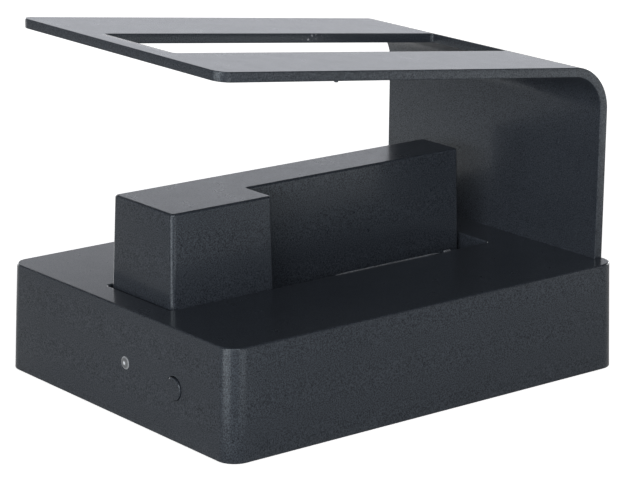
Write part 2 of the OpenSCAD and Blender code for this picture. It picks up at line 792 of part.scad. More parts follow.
module dc_jack_pin() {
    r = jack_pin_d / 2;
    length = jack_depth - jack_pin_back;
    color(steel)
        translate([jack_x, port_y - jack_depth, jack_axis_z]) rotate([-90, 0, 0]) rotate_extrude()
            polygon([[0, 0], [r, 0], [r, length - jack_pin_tip], [r - jack_pin_tip / 2, length], [0, length]]);
}

module dc_jack_spring() {
    z = jack_spring_z();
    color(steel)
        span([jack_x - jack_spring_w / 2, port_y - jack_depth, z],
            [jack_x + jack_spring_w / 2, port_y - jack_spring_back, z + jack_spring_t]);
}

module status_led() {
    ball_r = (led_d * led_d / 4 + led_dome_h * led_dome_h) / (2 * led_dome_h);
    color("#c3c8ce") {
        intersection() {
            translate([led_x, led_y + ball_r - led_dome_h, led_z]) sphere(r = ball_r);
            along_y([led_x, led_y - over, led_z], led_d, led_seat_y - led_y + over + led_flange_t / 2);
        }
        along_y([led_x, led_seat_y, led_z], led_flange_d, led_flange_t);
    }
}

module led_leads() {
    y = led_seat_y + led_flange_t;
    color(steel)
        for (sx = [-1, 1])
            let (x = led_x + sx * lead_pitch / 2)
                union() {
                    span([x - lead_t / 2, y, led_z - lead_t / 2],
                        [x + lead_t / 2, y + 2 * lead_t, led_z + lead_t / 2]);
                    span([x - lead_t / 2, y + lead_t, board_top],
                        [x + lead_t / 2, y + 2 * lead_t, led_z + lead_t / 2]);
                }
}

module bridge_chip() {
    color("#1c1d1f")
        translate([chip_at[0], chip_at[1], board_top]) linear_extrude(chip_h)
            rounded_plan([-chip_s / 2, chip_s / 2], [-chip_s / 2, chip_s / 2], chip_corner_r);
}

module bridge_chip_leads() {
    color(steel)
        for (side = [0 : 90 : 270], i = [0 : chip_lead_count - 1])
            translate([chip_at[0], chip_at[1], board_top]) rotate(side)
                translate([chip_s / 2, (i - (chip_lead_count - 1) / 2) * chip_lead_pitch - chip_lead_w / 2, 0])
                    cube([chip_lead_l, chip_lead_w, chip_lead_t]);
}

module flash_chip() {
    color("#1c1d1f")
        translate([flash_at[0] - flash_size[0] / 2, flash_at[1] - flash_size[1] / 2, board_top])
            cube(flash_size);
}

module crystal_can() {
    w = crystal_size[1] / 2;
    color(steel)
        translate([crystal_at[0], crystal_at[1], board_top]) linear_extrude(crystal_size[2])
            rounded_plan([-crystal_size[0] / 2, crystal_size[0] / 2], [-w, w], w - skin);
}

module power_inductors() {
    color("#3a3b3e")
        for (p = inductor_spots)
            translate([p[0], p[1], board_top])
                difference() {
                    linear_extrude(inductor_h)
                        rounded_plan([-inductor_s / 2, inductor_s / 2], [-inductor_s / 2, inductor_s / 2],
                            inductor_corner_r);
                    translate([0, 0, inductor_h - inductor_dish])
                        cylinder(d = inductor_s - 2 * inductor_rim, h = inductor_dish + over);
                }
}

module regulator() {
    color("#1c1d1f")
        translate([regulator_at[0], regulator_at[1], board_top]) {
            translate([-regulator_size[0] / 2, -regulator_size[1] / 2, 0]) cube(regulator_size);
            translate([-regulator_tab[0] / 2, regulator_size[1] / 2, 0]) cube(regulator_tab);
        }
}

module electrolytic_capacitors() {
    half = capacitor_base_s / 2;
    color("#c9ccd1")
        for (p = capacitor_spots)
            translate([p[0], p[1], board_top]) {
                linear_extrude(capacitor_base_h) rounded_plan([-half, half], [-half, half], capacitor_corner_r);
                cylinder(d = capacitor_d, h = capacitor_h);
            }
}

module chip_resistors() {
    color("#6b5a44")
        for (p = resistor_spots)
            translate([p[0] - resistor_size[0] / 2, p[1] - resistor_size[1] / 2, board_top])
                cube(resistor_size);
}

module cover_screws() {
    color(steel)
        for (p = cover_boss_spots)
            translate([p[0], p[1], foot_lift + head_h]) pan_screw(cover_screw_l - head_h);
}

module board_screws() {
    color(steel)
        for (p = post_spots)
            translate([p[0], p[1], board_top]) mirror([0, 0, 1]) pan_screw(board_screw_l);
}

module bracket_screws() {
    color("#3a3b3e")
        for (x = bracket_screw_xs)
            translate([x, bracket_y, bracket_screw_z]) rotate([90, 0, 0])
                difference() {
                    union() {
                        cylinder(d1 = countersink_d, d2 = screw_d, h = countersink_h);
                        cylinder(d = screw_d, h = bracket_screw_l);
                    }
                    cross_recess();
                }
}

module rubber_feet() {
    color("#1a1a1b")
        for (p = foot_spots)
            translate([p[0], p[1], 0]) rotate_extrude()
                polygon([[0, 0], [foot_d / 2 - foot_taper, 0], [foot_d / 2, foot_lift],
                    [foot_d / 2, foot_lift + foot_sink], [0, foot_lift + foot_sink]]);
}

top_shell();
bottom_cover();
drive_bracket();
adapter_block();
power_button();
switch_plunger();
tact_switch();
switch_board();
switch_header();
main_board();
sata_receptacle();
sata_contacts();
usb_port_shell();
usb_port_insert();
usb_contacts();
dc_jack_body();
dc_jack_pin();
dc_jack_spring();
status_led();
led_leads();
bridge_chip();
bridge_chip_leads();
flash_chip();
crystal_can();
power_inductors();
regulator();
electrolytic_capacitors();
chip_resistors();
cover_screws();
board_screws();
bracket_screws();
rubber_feet();
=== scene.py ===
"""Looks of a drive docking station: moulded housing, bent guide bracket, lift-out adapter block and front controls.

Sizes are in millimetres in the dataclass fields and go into the meshes in metres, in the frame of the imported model:
front faces -Y, +Z is up, and the feet stand on z = 0.
"""

import json
import logging
import math
from dataclasses import dataclass, field, replace
from enum import Enum, IntEnum
from typing import Any

import bmesh
import bpy
import numpy as np
from mathutils import Matrix, Vector

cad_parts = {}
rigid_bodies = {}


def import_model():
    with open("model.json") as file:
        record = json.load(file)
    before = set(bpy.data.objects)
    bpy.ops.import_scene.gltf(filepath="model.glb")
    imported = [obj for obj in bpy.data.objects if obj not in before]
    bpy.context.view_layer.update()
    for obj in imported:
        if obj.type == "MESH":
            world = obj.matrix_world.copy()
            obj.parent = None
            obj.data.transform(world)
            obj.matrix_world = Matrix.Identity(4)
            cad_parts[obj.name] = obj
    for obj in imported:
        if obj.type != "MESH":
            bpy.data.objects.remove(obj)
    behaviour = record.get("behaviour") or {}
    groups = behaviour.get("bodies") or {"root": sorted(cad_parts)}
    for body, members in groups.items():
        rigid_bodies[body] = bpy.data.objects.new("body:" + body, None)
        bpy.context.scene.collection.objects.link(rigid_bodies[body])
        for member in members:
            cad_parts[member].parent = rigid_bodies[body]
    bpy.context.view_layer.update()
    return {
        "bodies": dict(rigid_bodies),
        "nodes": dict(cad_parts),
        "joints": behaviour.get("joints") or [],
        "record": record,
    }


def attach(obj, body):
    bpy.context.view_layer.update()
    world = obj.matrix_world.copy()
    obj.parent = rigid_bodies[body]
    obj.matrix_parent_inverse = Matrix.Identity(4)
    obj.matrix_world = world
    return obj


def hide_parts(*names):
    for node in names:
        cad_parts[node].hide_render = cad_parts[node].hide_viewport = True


MM = 0.001
WELD_M = 2e-6
SLIVER_M = 1e-6
TINY = 1e-6
RIGHT_ANGLE = math.pi / 2
NOISE_BAND = (0.3, 0.7)
WIDE_BAND = (0.25, 0.75)
LOG = logging.getLogger("docking_station")

Array = np.ndarray
Node = bpy.types.Node
Socket = bpy.types.NodeSocket
Pair = tuple[float, float]
Triple = tuple[float, float, float]
Quad = tuple[float, float, float, float]
Colour = Triple
Source = float | tuple[float, ...] | Socket


class Body(Enum):
    """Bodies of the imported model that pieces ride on."""

    BASE = "base"
    ADAPTER = "adapter"
    BUTTON = "button"


class Side(IntEnum):
    """Sides of an outline, in the order that its stations go round it."""

    FRONT = 0
    RIGHT = 1
    REAR = 2
    LEFT = 3


@dataclass
class Patchwork:
    """Grids and polygons of one piece, welded into one mesh at the end."""

    points: list[Array] = field(default_factory=list)
    faces: list[list[int]] = field(default_factory=list)
    count: int = 0

    def _take(self, points: Array) -> Array:
        """Stores points of any shape that ends in 3, and gives their numbers in that shape without its last axis."""
        flat = points.reshape(-1, 3)
        numbers = np.arange(len(flat)).reshape(points.shape[:-1]) + self.count
        self.points.append(flat)
        self.count += len(flat)
        return numbers

    def grid(
        self, points: Array, close_rows: bool = False, close_cols: bool = False, skip: Array | None = None
    ) -> None:
        """Adds a grid: neighbours along rows and columns are joined by four-sided faces.

        Args:
            points: rows x columns x 3, in millimetres.
            close_rows: whether the last row joins the first.
            close_cols: whether the last column joins the first.
            skip: True for cells that are left open.
        """
        n = self._take(points)
        if close_rows:
            n = np.vstack([n, n[:1]])
        if close_cols:
            n = np.hstack([n, n[:, :1]])
        cells = np.stack([n[:-1, :-1], n[:-1, 1:], n[1:, 1:], n[1:, :-1]], axis=-1)
        keep = np.ones(cells.shape[:2], bool) if skip is None else ~skip
        self.faces += cells[keep].tolist()

    def cap(self, ring: Array) -> None:
        """Closes a flat ring of points with one polygon."""
        self.faces.append(self._take(ring).tolist())

    def piece(self, name: str, sharp_deg: float = 38.0) -> bpy.types.Object:
        """Welds everything into one object with faces outward and smooth shading between near-level faces.

        Args:
            name: the object's name.
            sharp_deg: edges that turn by more than this stay crisp.

        Returns:
            The object, at the origin, linked to the scene.
        """
        mesh = bpy.data.meshes.new(name)
        mesh.from_pydata((np.vstack(self.points) * MM).tolist(), [], self.faces)
        shape = bmesh.new()
        shape.from_mesh(mesh)
        bmesh.ops.remove_doubles(shape, verts=shape.verts, dist=WELD_M)
        bmesh.ops.dissolve_degenerate(shape, edges=shape.edges, dist=SLIVER_M)
        bmesh.ops.recalc_face_normals(shape, faces=shape.faces)
        shape.to_mesh(mesh)
        shape.free()
        mesh.shade_smooth()
        mesh.set_sharp_from_angle(angle=math.radians(sharp_deg))
        made = bpy.data.objects.new(name, mesh)
        bpy.context.scene.collection.objects.link(made)
        return made


def in_metres(sizes: tuple[float, ...]) -> tuple[float, ...]:
    """Turns millimetres into metres."""
    return tuple(v * MM for v in sizes)


def at_height(flat: Array, z: float) -> Array:
    """Lifts points x 2 to one height."""
    return np.column_stack([flat, np.full(len(flat), z)])


def nearest(lines: Array, ends: Pair) -> tuple[int, int]:
    """Numbers of the lines nearest to two places."""
    first, last = (int(np.argmin(np.abs(lines - v))) for v in ends)
    return first, last


def quarter(steps: int) -> Array:
    """Quarter circle of radius one from a wall to a face: rows of inset 1 - cos(a) and climb sin(a) at even angles."""
    a = np.linspace(0.0, RIGHT_ANGLE, steps + 1)
    return np.column_stack([1 - np.cos(a), np.sin(a)])


def lathe_y(profile: Array, centre: Triple, segments: int = 72) -> Array:
    """Turns a profile about an axis along Y: each point (radius, depth) runs round a circle of that radius.

    Args:
        profile: points x 2, radius and depth behind the centre's Y.
        centre: the axis's X and Z, and the Y that depths start from, as (x, y, z).
        segments: points round the circle.

    Returns:
        Grid of points x segments x 3.
    """
    a = np.linspace(0.0, 2 * math.pi, segments, endpoint=False)
    radius, depth = profile[:, :1], profile[:, 1:]
    x, y, z = radius * np.cos(a), np.repeat(depth, segments, axis=1), radius * np.sin(a)
    return np.stack([x, y, z], axis=-1) + np.array(centre)


def turned(name: str, profile: Array, centre: Triple, segments: int = 72, sharp_deg: float = 50.0) -> bpy.types.Object:
    """Piece made on the lathe, with the profile, centre and segments of lathe_y."""
    work = Patchwork()
    work.grid(lathe_y(profile, centre, segments), close_cols=True)
    return work.piece(name, sharp_deg)


def window_ring(points: Array, rows: tuple[int, int], cols: tuple[int, int]) -> Array:
    """Points of a grid once round a window, from its first row and column: rows and cols are its first and last."""
    (r0, r1), (c0, c1) = rows, cols
    return np.concatenate([points[r0, c0:c1], points[r0:r1, c1], points[r1, c1:c0:-1], points[r1:r0:-1, c0]])


def round_loop(box: Quad, r: float, runs: list[Array], steps: int) -> Array:
    """Once round a box with quarter circles in its corners.

    Args:
        box: low X, high X, low Y and high Y.
        r: corner radius.
        runs: places along the front, right, rear and left side, each with both of its ends.
        steps: segments in each corner.

    Returns:
        Stations x 2, anticlockwise from the front's left end.
    """
    x0, x1, y0, y1 = box
    a = np.linspace(0.0, RIGHT_ANGLE, steps + 1)[1:-1]
    s, c = r * np.sin(a), r * np.cos(a)
    front, right, rear, left = runs
    pairs = (
        (front, y0), (x1 - r + s, y0 + r - c), (x1, right), (x1 - r + c, y1 - r + s),
        (rear, y1), (x0 + r - s, y1 - r + c), (x0, left), (x0 + r - c, y0 + r - s),
    )
    return np.concatenate([np.stack(np.broadcast_arrays(*pair), axis=1) for pair in pairs])


@dataclass
class Perimeter:
    """Stations round a box's outline with round corners: places along each straight side, and steps in each corner."""

    sides: tuple[Array, Array, Array, Array]
    steps: int
    reach: Quad

    def loop(self, box: Quad, r: float, held: bool = True) -> Array:
        """Once round a box by these stations.

        Args:
            box: low X, high X, low Y and high Y.
            r: corner radius.
            held: whether the stations keep their own X or Y, or spread in proportion over the side.

        Returns:
            Stations x 2, anticlockwise from the front's left end.
        """
        x0, x1, y0, y1 = box
        low_x, high_x, low_y, high_y = self.reach
        spans = (
            (x0 + r, x1 - r, low_x, high_x), (y0 + r, y1 - r, low_y, high_y),
            (x1 - r, x0 + r, high_x, low_x), (y1 - r, y0 + r, high_y, low_y),
        )
        runs = []
        for places, (start, end, low, high) in zip(self.sides, spans):
            inner = places if held else start + (places - low) / (high - low) * (end - start)
            runs.append(np.concatenate([[start], inner, [end]]))
        return round_loop(box, r, runs, self.steps)

    def start(self, side: Side) -> int:
        """Number of a side's first station."""
        return sum(len(places) + 2 + self.steps - 1 for places in self.sides[:side])

    def columns(self, side: Side, ends: Pair) -> tuple[int, int]:
        """Numbers of the stations at two places of a side."""
        first, last = nearest(self.sides[side], ends)
        own = self.start(side) + 1
        return own + first, own + last


def opaque(source: Source) -> Source:
    """Adds full cover to a colour, and leaves anything else as it is."""
    return (*source, 1.0) if isinstance(source, tuple) else source


class Net:
    """Node tree with short ways to add nodes; those that work on values give the new node's output."""

    def __init__(self, tree: bpy.types.NodeTree) -> None:
        """Takes over a tree and empties it."""
        self.tree = tree
        self.tree.nodes.clear()

    def add(self, kind: str, **values: Any) -> Node:
        """Adds a node and sets its properties."""
        node = self.tree.nodes.new(kind)
        for key, value in values.items():
            setattr(node, key, value)
        return node

    def feed(self, node: Node, *sources: tuple[str | int, Source]) -> None:
        """Fills inputs of a node, each with a constant or from another node's output."""
        for into, source in sources:
            if isinstance(source, Socket):
                self.tree.links.new(source, node.inputs[into])
            else:
                node.inputs[into].default_value = source

    def maths(self, operation: str, a: Source, b: Source = 0.0) -> Socket:
        """Joins two values by one sum."""
        node = self.add("ShaderNodeMath", operation=operation)
        self.feed(node, (0, a), (1, b))
        return node.outputs[0]

    def vector(self, operation: str, a: Socket, b: Source = (0.0, 0.0, 0.0)) -> Socket:
        """Joins two vectors by one sum."""
        node = self.add("ShaderNodeVectorMath", operation=operation)
        self.feed(node, (0, a), (1, b))
        return node.outputs["Value" if operation in ("LENGTH", "DOT_PRODUCT") else "Vector"]

    def split(self, source: Socket) -> dict[str, Socket]:
        """Takes a vector apart into X, Y and Z."""
        node = self.add("ShaderNodeSeparateXYZ")
        self.feed(node, (0, source))
        return {axis: node.outputs[axis] for axis in "XYZ"}

    def blend(self, factor: Source, a: Source, b: Source) -> Socket:
        """Goes from one value to the other by a factor."""
        node = self.add("ShaderNodeMix", data_type="FLOAT")
        self.feed(node, (0, factor), (2, a), (3, b))
        return node.outputs[0]

    def tint(self, factor: Source, a: Source, b: Source) -> Socket:
        """Goes from one colour to the other by a factor."""
        node = self.add("ShaderNodeMix", data_type="RGBA")
        self.feed(node, (0, factor), (6, opaque(a)), (7, opaque(b)))
        return node.outputs[2]

    def spread(self, source: Socket, low: float, high: float, to_low: float = 0.0, to_high: float = 1.0) -> Socket:
        """Maps a value's range from low..high onto to_low..to_high, and clamps it."""
        node = self.add("ShaderNodeMapRange")
        limits = zip(("From Min", "From Max", "To Min", "To Max"), (low, high, to_low, to_high))
        self.feed(node, ("Value", source), *limits)
        return node.outputs[0]

    def ramp(self, source: Socket, levels: tuple[Pair, ...], hue: Colour) -> Socket:
        """Ramp of one hue: brightness by the places that levels gives, each as (place, brightness)."""
        node = self.add("ShaderNodeValToRGB")
        self.feed(node, ("Fac", source))
        elements = node.color_ramp.elements
        for i, (at, level) in enumerate(levels):
            element = elements[i] if i < len(elements) else elements.new(at)
            element.position = at
            element.color = opaque(tuple(level * c for c in hue))
        return node.outputs["Color"]

    def rays(self) -> tuple[Socket, Socket]:
        """One for rays from the camera, else none; and one for rays that a surface mirrors or lets through."""
        path = self.add("ShaderNodeLightPath").outputs
        return path["Is Camera Ray"], self.maths("MAXIMUM", path["Is Glossy Ray"], path["Is Transmission Ray"])


class Shader(Net):
    """Node tree of one material on the object's own coordinates."""

    def __init__(self, name: str) -> None:
        """Makes an empty material with an output and a Principled surface."""
        self.material = bpy.data.materials.new(name)
        self.material.use_nodes = True
        super().__init__(self.material.node_tree)
        self.surface = self.add("ShaderNodeBsdfPrincipled")
        self.place = self.add("ShaderNodeTexCoord").outputs["Object"]
        self.feed(self.add("ShaderNodeOutputMaterial"), ("Surface", self.surface.outputs["BSDF"]))

    def noise(self, scale: float, detail: float = 2.0, rough: float = 0.5) -> Socket:
        """Noise on the object's own coordinates, with cells of 1 / scale metres."""
        node = self.add("ShaderNodeTexNoise")
        self.feed(node, ("Vector", self.place), ("Scale", scale), ("Detail", detail), ("Roughness", rough))
        return node.outputs["Fac"]

    def bump(self, noise: Socket, depth_mm: float) -> None:
        """Lets a noise stand up from the surface by that depth."""
        node = self.add("ShaderNodeBump")
        self.feed(node, ("Strength", 1.0), ("Distance", depth_mm * MM), ("Height", noise))
        self.set(Normal=node.outputs["Normal"])

    def set(self, **values: Source) -> None:
        """Fills the surface's own sockets, by names with spaces as underscores."""
        self.feed(self.surface, *((key.replace("_", " "), opaque(value)) for key, value in values.items()))


@dataclass(frozen=True)
class Patch:
    """Rounded patch of wear on a piece: its middle, its half sizes, and how its marks look."""

    centre_mm: Triple
    half_mm: Triple
    colour: Colour = (0.30, 0.31, 0.33)
    cell_mm: float = 0.9
    cover: Pair = (0.56, 0.66)
    fade: Pair = (0.6, 1.0)


@dataclass(frozen=True)
class MouldedPlastic:
    """Black injection-moulded plastic: matt spark grain under a thin skin that shines at a low angle, and dust."""

    name: str
    colour: Colour
    cloud: Colour
    roughness: Pair
    grain_mm: float = 0.3
    grain_depth_mm: float = 0.02
    grain_tone: float = 0.62
    dust: float = 0.1
    ior: float = 1.42
    sheen: float = 0.5
    sheen_tint: Colour = (0.82, 0.93, 1.0)
    skin: float = 0.85
    skin_ior: float = 1.22
    skin_roughness: float = 0.13
    scuff: Patch | None = None
    cloud_scale: float = 45.0
    gloss_scale: float = 140.0
    speck_scale: float = 260.0
    speck_edge: Pair = (0.02, 0.05)
    dust_scale: float = 900.0
    dust_band: Pair = (0.62, 0.7)
    dust_colour: Colour = (0.22, 0.23, 0.25)

    def _scuffs(self, s: Shader, patch: Patch) -> Socket:
        """Mask of worn marks: streaky noise inside one patch."""
        shift = s.vector("SUBTRACT", s.place, in_metres(patch.centre_mm))
        share = s.vector("DIVIDE", shift, in_metres(patch.half_mm))
        inside = s.spread(s.vector("LENGTH", share), *patch.fade, 1.0, 0.0)
        streaks = s.spread(s.noise(1.0 / (patch.cell_mm * MM), detail=3.0, rough=0.6), *patch.cover)
        return s.maths("MULTIPLY", inside, streaks)

    def _specks(self, s: Shader) -> Socket:
        """Mask of sparse dust: small dots round the middles of some cells."""
        specks = s.add("ShaderNodeTexVoronoi", feature="F1")
        s.feed(specks, ("Vector", s.place), ("Scale", self.speck_scale))
        near = s.spread(specks.outputs["Distance"], *self.speck_edge, 1.0, 0.0)
        rare = s.spread(s.noise(self.dust_scale, detail=0.0), *self.dust_band, 0.0, self.dust)
        return s.maths("MULTIPLY", near, rare)

    def material(self) -> bpy.types.Material:
        """Builds the node material, on Object coordinates."""
        s = Shader(self.name)
        clouds = s.noise(self.cloud_scale, detail=3.0, rough=0.55)
        tone = s.tint(s.spread(clouds, *NOISE_BAND), self.colour, self.cloud)
        spark = s.noise(1.0 / (self.grain_mm * MM), rough=0.6)
        s.bump(spark, self.grain_depth_mm)
        grain = s.spread(spark, *NOISE_BAND, 1.0 - self.grain_tone, 1.0 + self.grain_tone)
        grained = s.add("ShaderNodeVectorMath", operation="SCALE")
        s.feed(grained, (0, tone), ("Scale", grain))
        colour = s.tint(self._specks(s), grained.outputs["Vector"], self.dust_colour)
        if self.scuff:
            colour = s.tint(self._scuffs(s, self.scuff), colour, self.scuff.colour)
        gloss = s.noise(self.gloss_scale, detail=4.0, rough=0.6)
        s.set(
            Base_Color=colour,
            Roughness=s.spread(gloss, *NOISE_BAND, *self.roughness),
            IOR=self.ior,
            Specular_IOR_Level=s.maths("MULTIPLY", grain, self.sheen),
            Specular_Tint=self.sheen_tint,
            Coat_Weight=s.maths("MULTIPLY", grain, self.skin),
            Coat_IOR=self.skin_ior,
            Coat_Roughness=self.skin_roughness,
        )
        return s.material


@dataclass(frozen=True)
class LampResin:
    """Cast resin of a small unlit lamp, with painted reflections: tone by the distance from its axis paints a lighter
    rim, a darker ring and a bright middle over the chip, in place of the light seen in the clear resin.
    """

    name: str
    centre_mm: Triple
    radius_mm: float
    hue: Colour = (0.95, 1.0, 1.06)
    # Painted reflections: brightness by the distance from the axis, not the resin's own colour.
    reflection_tones: tuple[Pair, ...] = (
        (0.0, 0.9), (0.16, 0.85), (0.3, 0.22), (0.55, 0.13), (0.74, 0.16), (0.9, 0.34), (1.0, 0.22),
    )
    wave_scale: float = 900.0
    wave_mm: float = 0.01

    def material(self) -> bpy.types.Material:
        """Builds the node material: painted reflection tones by the distance from the lamp's axis, on Object
        coordinates.
        """
        s = Shader(self.name)
        shift = s.vector("SUBTRACT", s.place, in_metres(self.centre_mm))
        reach = s.vector("LENGTH", s.vector("MULTIPLY", shift, (1.0, 0.0, 1.0)))
        tone = s.ramp(s.spread(reach, 0.0, self.radius_mm * MM), self.reflection_tones, self.hue)
        s.bump(s.noise(self.wave_scale), self.wave_mm)
        s.set(Base_Color=tone, Roughness=0.16, IOR=1.5, Coat_Weight=0.6, Coat_Roughness=0.06)
        return s.material


@dataclass(frozen=True)
class PlainFinish:
    """Small inner part or fastener: colour that varies a little, with its own gloss and fine bump."""

    name: str
    colour: Colour
    shade: Colour
    roughness: Pair
    metallic: float = 0.0
    cell_mm: float = 1.5
    bump_mm: float = 0.004
    bump_cells: float = 4.0

    def material(self) -> bpy.types.Material:
        """Builds the node material, on Object coordinates."""
        s = Shader(self.name)
        cloud = s.noise(1.0 / (self.cell_mm * MM), detail=4.0, rough=0.6)
        tone = s.tint(s.spread(cloud, *NOISE_BAND), self.colour, self.shade)
        s.bump(s.noise(self.bump_cells / (self.cell_mm * MM), detail=3.0), self.bump_mm)
        s.set(Base_Color=tone, Roughness=s.spread(cloud, *WIDE_BAND, *self.roughness), Metallic=self.metallic, IOR=1.5)
        return s.material


@dataclass
class WallPair:
    """Outer and inner wall of one grid, with the row number of each height on both."""

    points: Array
    skip: Array
    outer_row: dict[float, int]
    inner_row: dict[float, int]

    @staticmethod
    def key(z: float) -> float:
        """Height as it is written in the row numbers."""
        return round(float(z), 4)

    @classmethod
    def numbered(cls, heights: Array, first: int) -> dict[float, int]:
        """Row numbers of heights that follow each other from a first row."""
        return {cls.key(z): first + k for k, z in enumerate(heights)}

    def cut(self, heights: Pair, cols: tuple[int, int]) -> tuple[Array, Array]:
        """Opens a window in both walls.

        Args:
            heights: low and high Z of the window.
            cols: first and last column of the window.

        Returns:
            Points round the window on the outer wall and on the inner wall, in the same order.
        """
        low, high = (self.key(v) for v in heights)
        levels = sorted(z for z in self.outer_row if low <= z <= high)
        across = slice(*cols)
        self.skip[self.outer_row[low]:self.outer_row[high], across] = True
        self.skip[self.inner_row[high]:self.inner_row[low], across] = True
        whole = (0, len(levels) - 1)
        outer, inner = (self.points[[rows[z] for z in levels]] for rows in (self.outer_row, self.inner_row))
        return window_ring(outer, whole, cols), window_ring(inner, whole, cols)


@dataclass
class Housing:
    """Moulded top housing: drafted walls, rounded top edge, drive slot with its well, and the bracket's recess."""

    width: float = 97.0
    length: float = 128.0
    height: float = 28.85
    lift: float = 0.4
    draft: float = 0.7
    corner_r: float = 4.8
    least_r: float = 0.3
    edge_r: float = 0.45
    straight: float = 0.7
    foot_r: float = 0.2
    wall: float = 2.0
    slot: Quad = (-14.6, 13.1, -55.6, 49.6)
    slot_r: float = 1.0
    rim_r: float = 0.4
    seat_z: float = 9.6
    well_wall: float = 1.6
    window: Quad = (5.5, 12.1, -0.7, 42.9)
    window_r: float = 0.2
    recess_x: float = 42.4
    recess_y: float = 60.65
    recess_z: float = 19.0
    button: Triple = (25.4, 13.7, 3.08)
    lamp: Triple = (4.9, 14.9, 1.7)
    hole_pad: float = 4.5
    hole_lines: int = 13
    hole_edge: float = 0.08
    outer_shares: tuple[float, ...] = (1.0, 0.6, 0.3, 0.1, 0.02)
    inner_shares: tuple[float, ...] = (0.0, 0.1, 0.5, 1.0)
    port_z: Pair = (5.55, 17.0)
    port_xs: tuple[Pair, ...] = ((-36.25, -23.75), (25.25, 34.75))
    support: float = 0.14
    shelf_in: float = 0.3
    corner_steps: int = 12
    front_lines: tuple[float, ...] = (-30.0, -12.0, 38.0)
    side_lines: tuple[float, ...] = (-40.0, -20.0, 0.0, 20.0, 40.0)
    low_line: float = 3.2
    high_line: float = 23.0

    def face_inset(self, z: Array | float) -> Array | float:
        """Inset of the drafted outer wall at height z: it grows in proportion from the foot to the rounded edge."""
        return self.draft * (z - self.lift) / (self.height - self.straight - self.lift)

    def _perimeter(self) -> Perimeter:
        """Stations round the base: round each front hole, at each port's sides, and twice at each end of the recess."""
        pad = np.linspace(-self.hole_pad, self.hole_pad, self.hole_lines)
        front = np.sort(np.concatenate([self.front_lines, self.lamp[0] + pad, self.button[0] + pad]))
        ports = sorted((x for pair in self.port_xs for x in pair), reverse=True)
        rear = np.array([self.recess_x, self.recess_x, *ports, -self.recess_x, -self.recess_x])
        sides = np.array(self.side_lines)
        x, y = self.width / 2, self.length / 2
        return Perimeter((front, sides, rear, -sides), self.corner_steps, (-x, x, -y, y))

    def build(self) -> bpy.types.Object:
        """Builds the housing as one closed ring: a profile carried round the outline.

        The profile climbs the drafted wall, rolls over the edge, crosses the top to the slot, goes down the well to
        its floor and window, and comes back along the well's outside, the roof and the wall's inside. Holes and
        port windows join the outer and the inner wall.

        Returns:
            The housing.
        """
        ring = self._perimeter()
        half_x, half_y = self.width / 2, self.length / 2
        first, count = ring.start(Side.REAR), len(ring.sides[Side.REAR])

        def level(z: float, inset: float, tighten: float, recess: float | None = None) -> Array:
            """One level of the outer or inner wall, with the rear pulled in to the recess where it is given."""
            box = (inset - half_x, half_x - inset, inset - half_y, half_y - inset)
            flat = ring.loop(box, max(self.corner_r - tighten, self.least_r))
            if recess is not None:
                flat[first + 2:first + count, 1] = recess
            return at_height(flat, z)

        def shelf(z: float, inset: float, tighten: float, rear: float) -> Array:
            """One level whose whole rear lies at one depth, so that the faces inside it don't fold at the recess."""
            box = (inset - half_x, half_x - inset, inset - half_y, rear)
            flat = ring.loop(box, max(self.corner_r - tighten, self.least_r))
            flat[[first + 1, first + count], 0] += np.array([self.shelf_in, -self.shelf_in])
            return at_height(flat, z)

        def mouth(hole: tuple[Quad, float], z: float, grow: float) -> Array:
            """One level round the slot or the connector's window, grown by that much."""
            (x0, x1, y0, y1), r = hole
            return at_height(ring.loop((x0 - grow, x1 + grow, y0 - grow, y1 + grow), r + grow, held=False), z)

        slot, window = (self.slot, self.slot_r), (self.window, self.window_r)
        top_z, roof, port_top = self.height - self.edge_r, self.height - self.wall, self.port_z[1]
        well_z = self.seat_z - self.well_wall
        hole_z = (self.button[1] - self.hole_pad, self.button[1] + self.hole_pad)
        heights = [self.lift + self.foot_r, self.low_line, *self.port_z, self.recess_z]
        below = np.unique(np.concatenate([heights, np.linspace(*hole_z, self.hole_lines)]))
        above = [self.recess_z, self.high_line, top_z - self.support, top_z]
        inner_rear = self.recess_y - self.wall
        inner_high = np.unique(np.append(below[below > port_top], [self.high_line, roof]))[::-1]
        inner_low = below[below <= port_top][::-1]
        flat_in, flat_r = self.draft + self.edge_r + self.support, self.edge_r + self.support
        flat_rear, e = self.recess_y - self.support, self.shelf_in

        rows = [level(self.lift, self.foot_r + self.support, 0.0)]
        rows += [level(self.lift + self.foot_r * (1 - u), self.foot_r * i, 0.0) for i, u in quarter(3)[::-1]]
        outer_row = WallPair.numbered(below, len(rows) - 1)
        rows += [level(z, self.face_inset(z), 0.0) for z in below[1:]]
        rows += [level(z, self.face_inset(z), 0.0, self.recess_y) for z in above]
        rows += [
            level(top_z + self.edge_r * u, self.draft + self.edge_r * i, self.edge_r * i, self.recess_y)
            for i, u in quarter(8)[1:]
        ]
        rows.append(level(self.height, flat_in, flat_r, flat_rear))
        rows.append(shelf(self.height, flat_in + e, flat_r + e, flat_rear - e))
        rows.append(mouth(slot, self.height, self.rim_r + self.support))
        rows += [mouth(slot, self.height - self.rim_r * (1 - u), self.rim_r * i) for i, u in quarter(5)[::-1]]
        well = (self.height - self.rim_r - self.support, self.seat_z + self.support, self.seat_z)
        rows += [mouth(slot, z, 0.0) for z in well]
        rows += [mouth(window, z, grow) for z, grow in ((self.seat_z, self.support), (self.seat_z, 0.0), (well_z, 0.0))]
        rows += [mouth(slot, z, self.well_wall) for z in (well_z, roof)]
        rows.append(shelf(roof, self.face_inset(roof) + self.wall + e, self.wall + e, inner_rear - e))
        inner_row = WallPair.numbered(inner_high, len(rows))
        rows += [level(z, self.face_inset(z) + self.wall, self.wall, inner_rear) for z in [*inner_high, port_top]]
        inner_row |= WallPair.numbered(inner_low, len(rows))
        rows += [level(z, self.face_inset(z) + self.wall, self.wall) for z in [*inner_low, self.lift]]

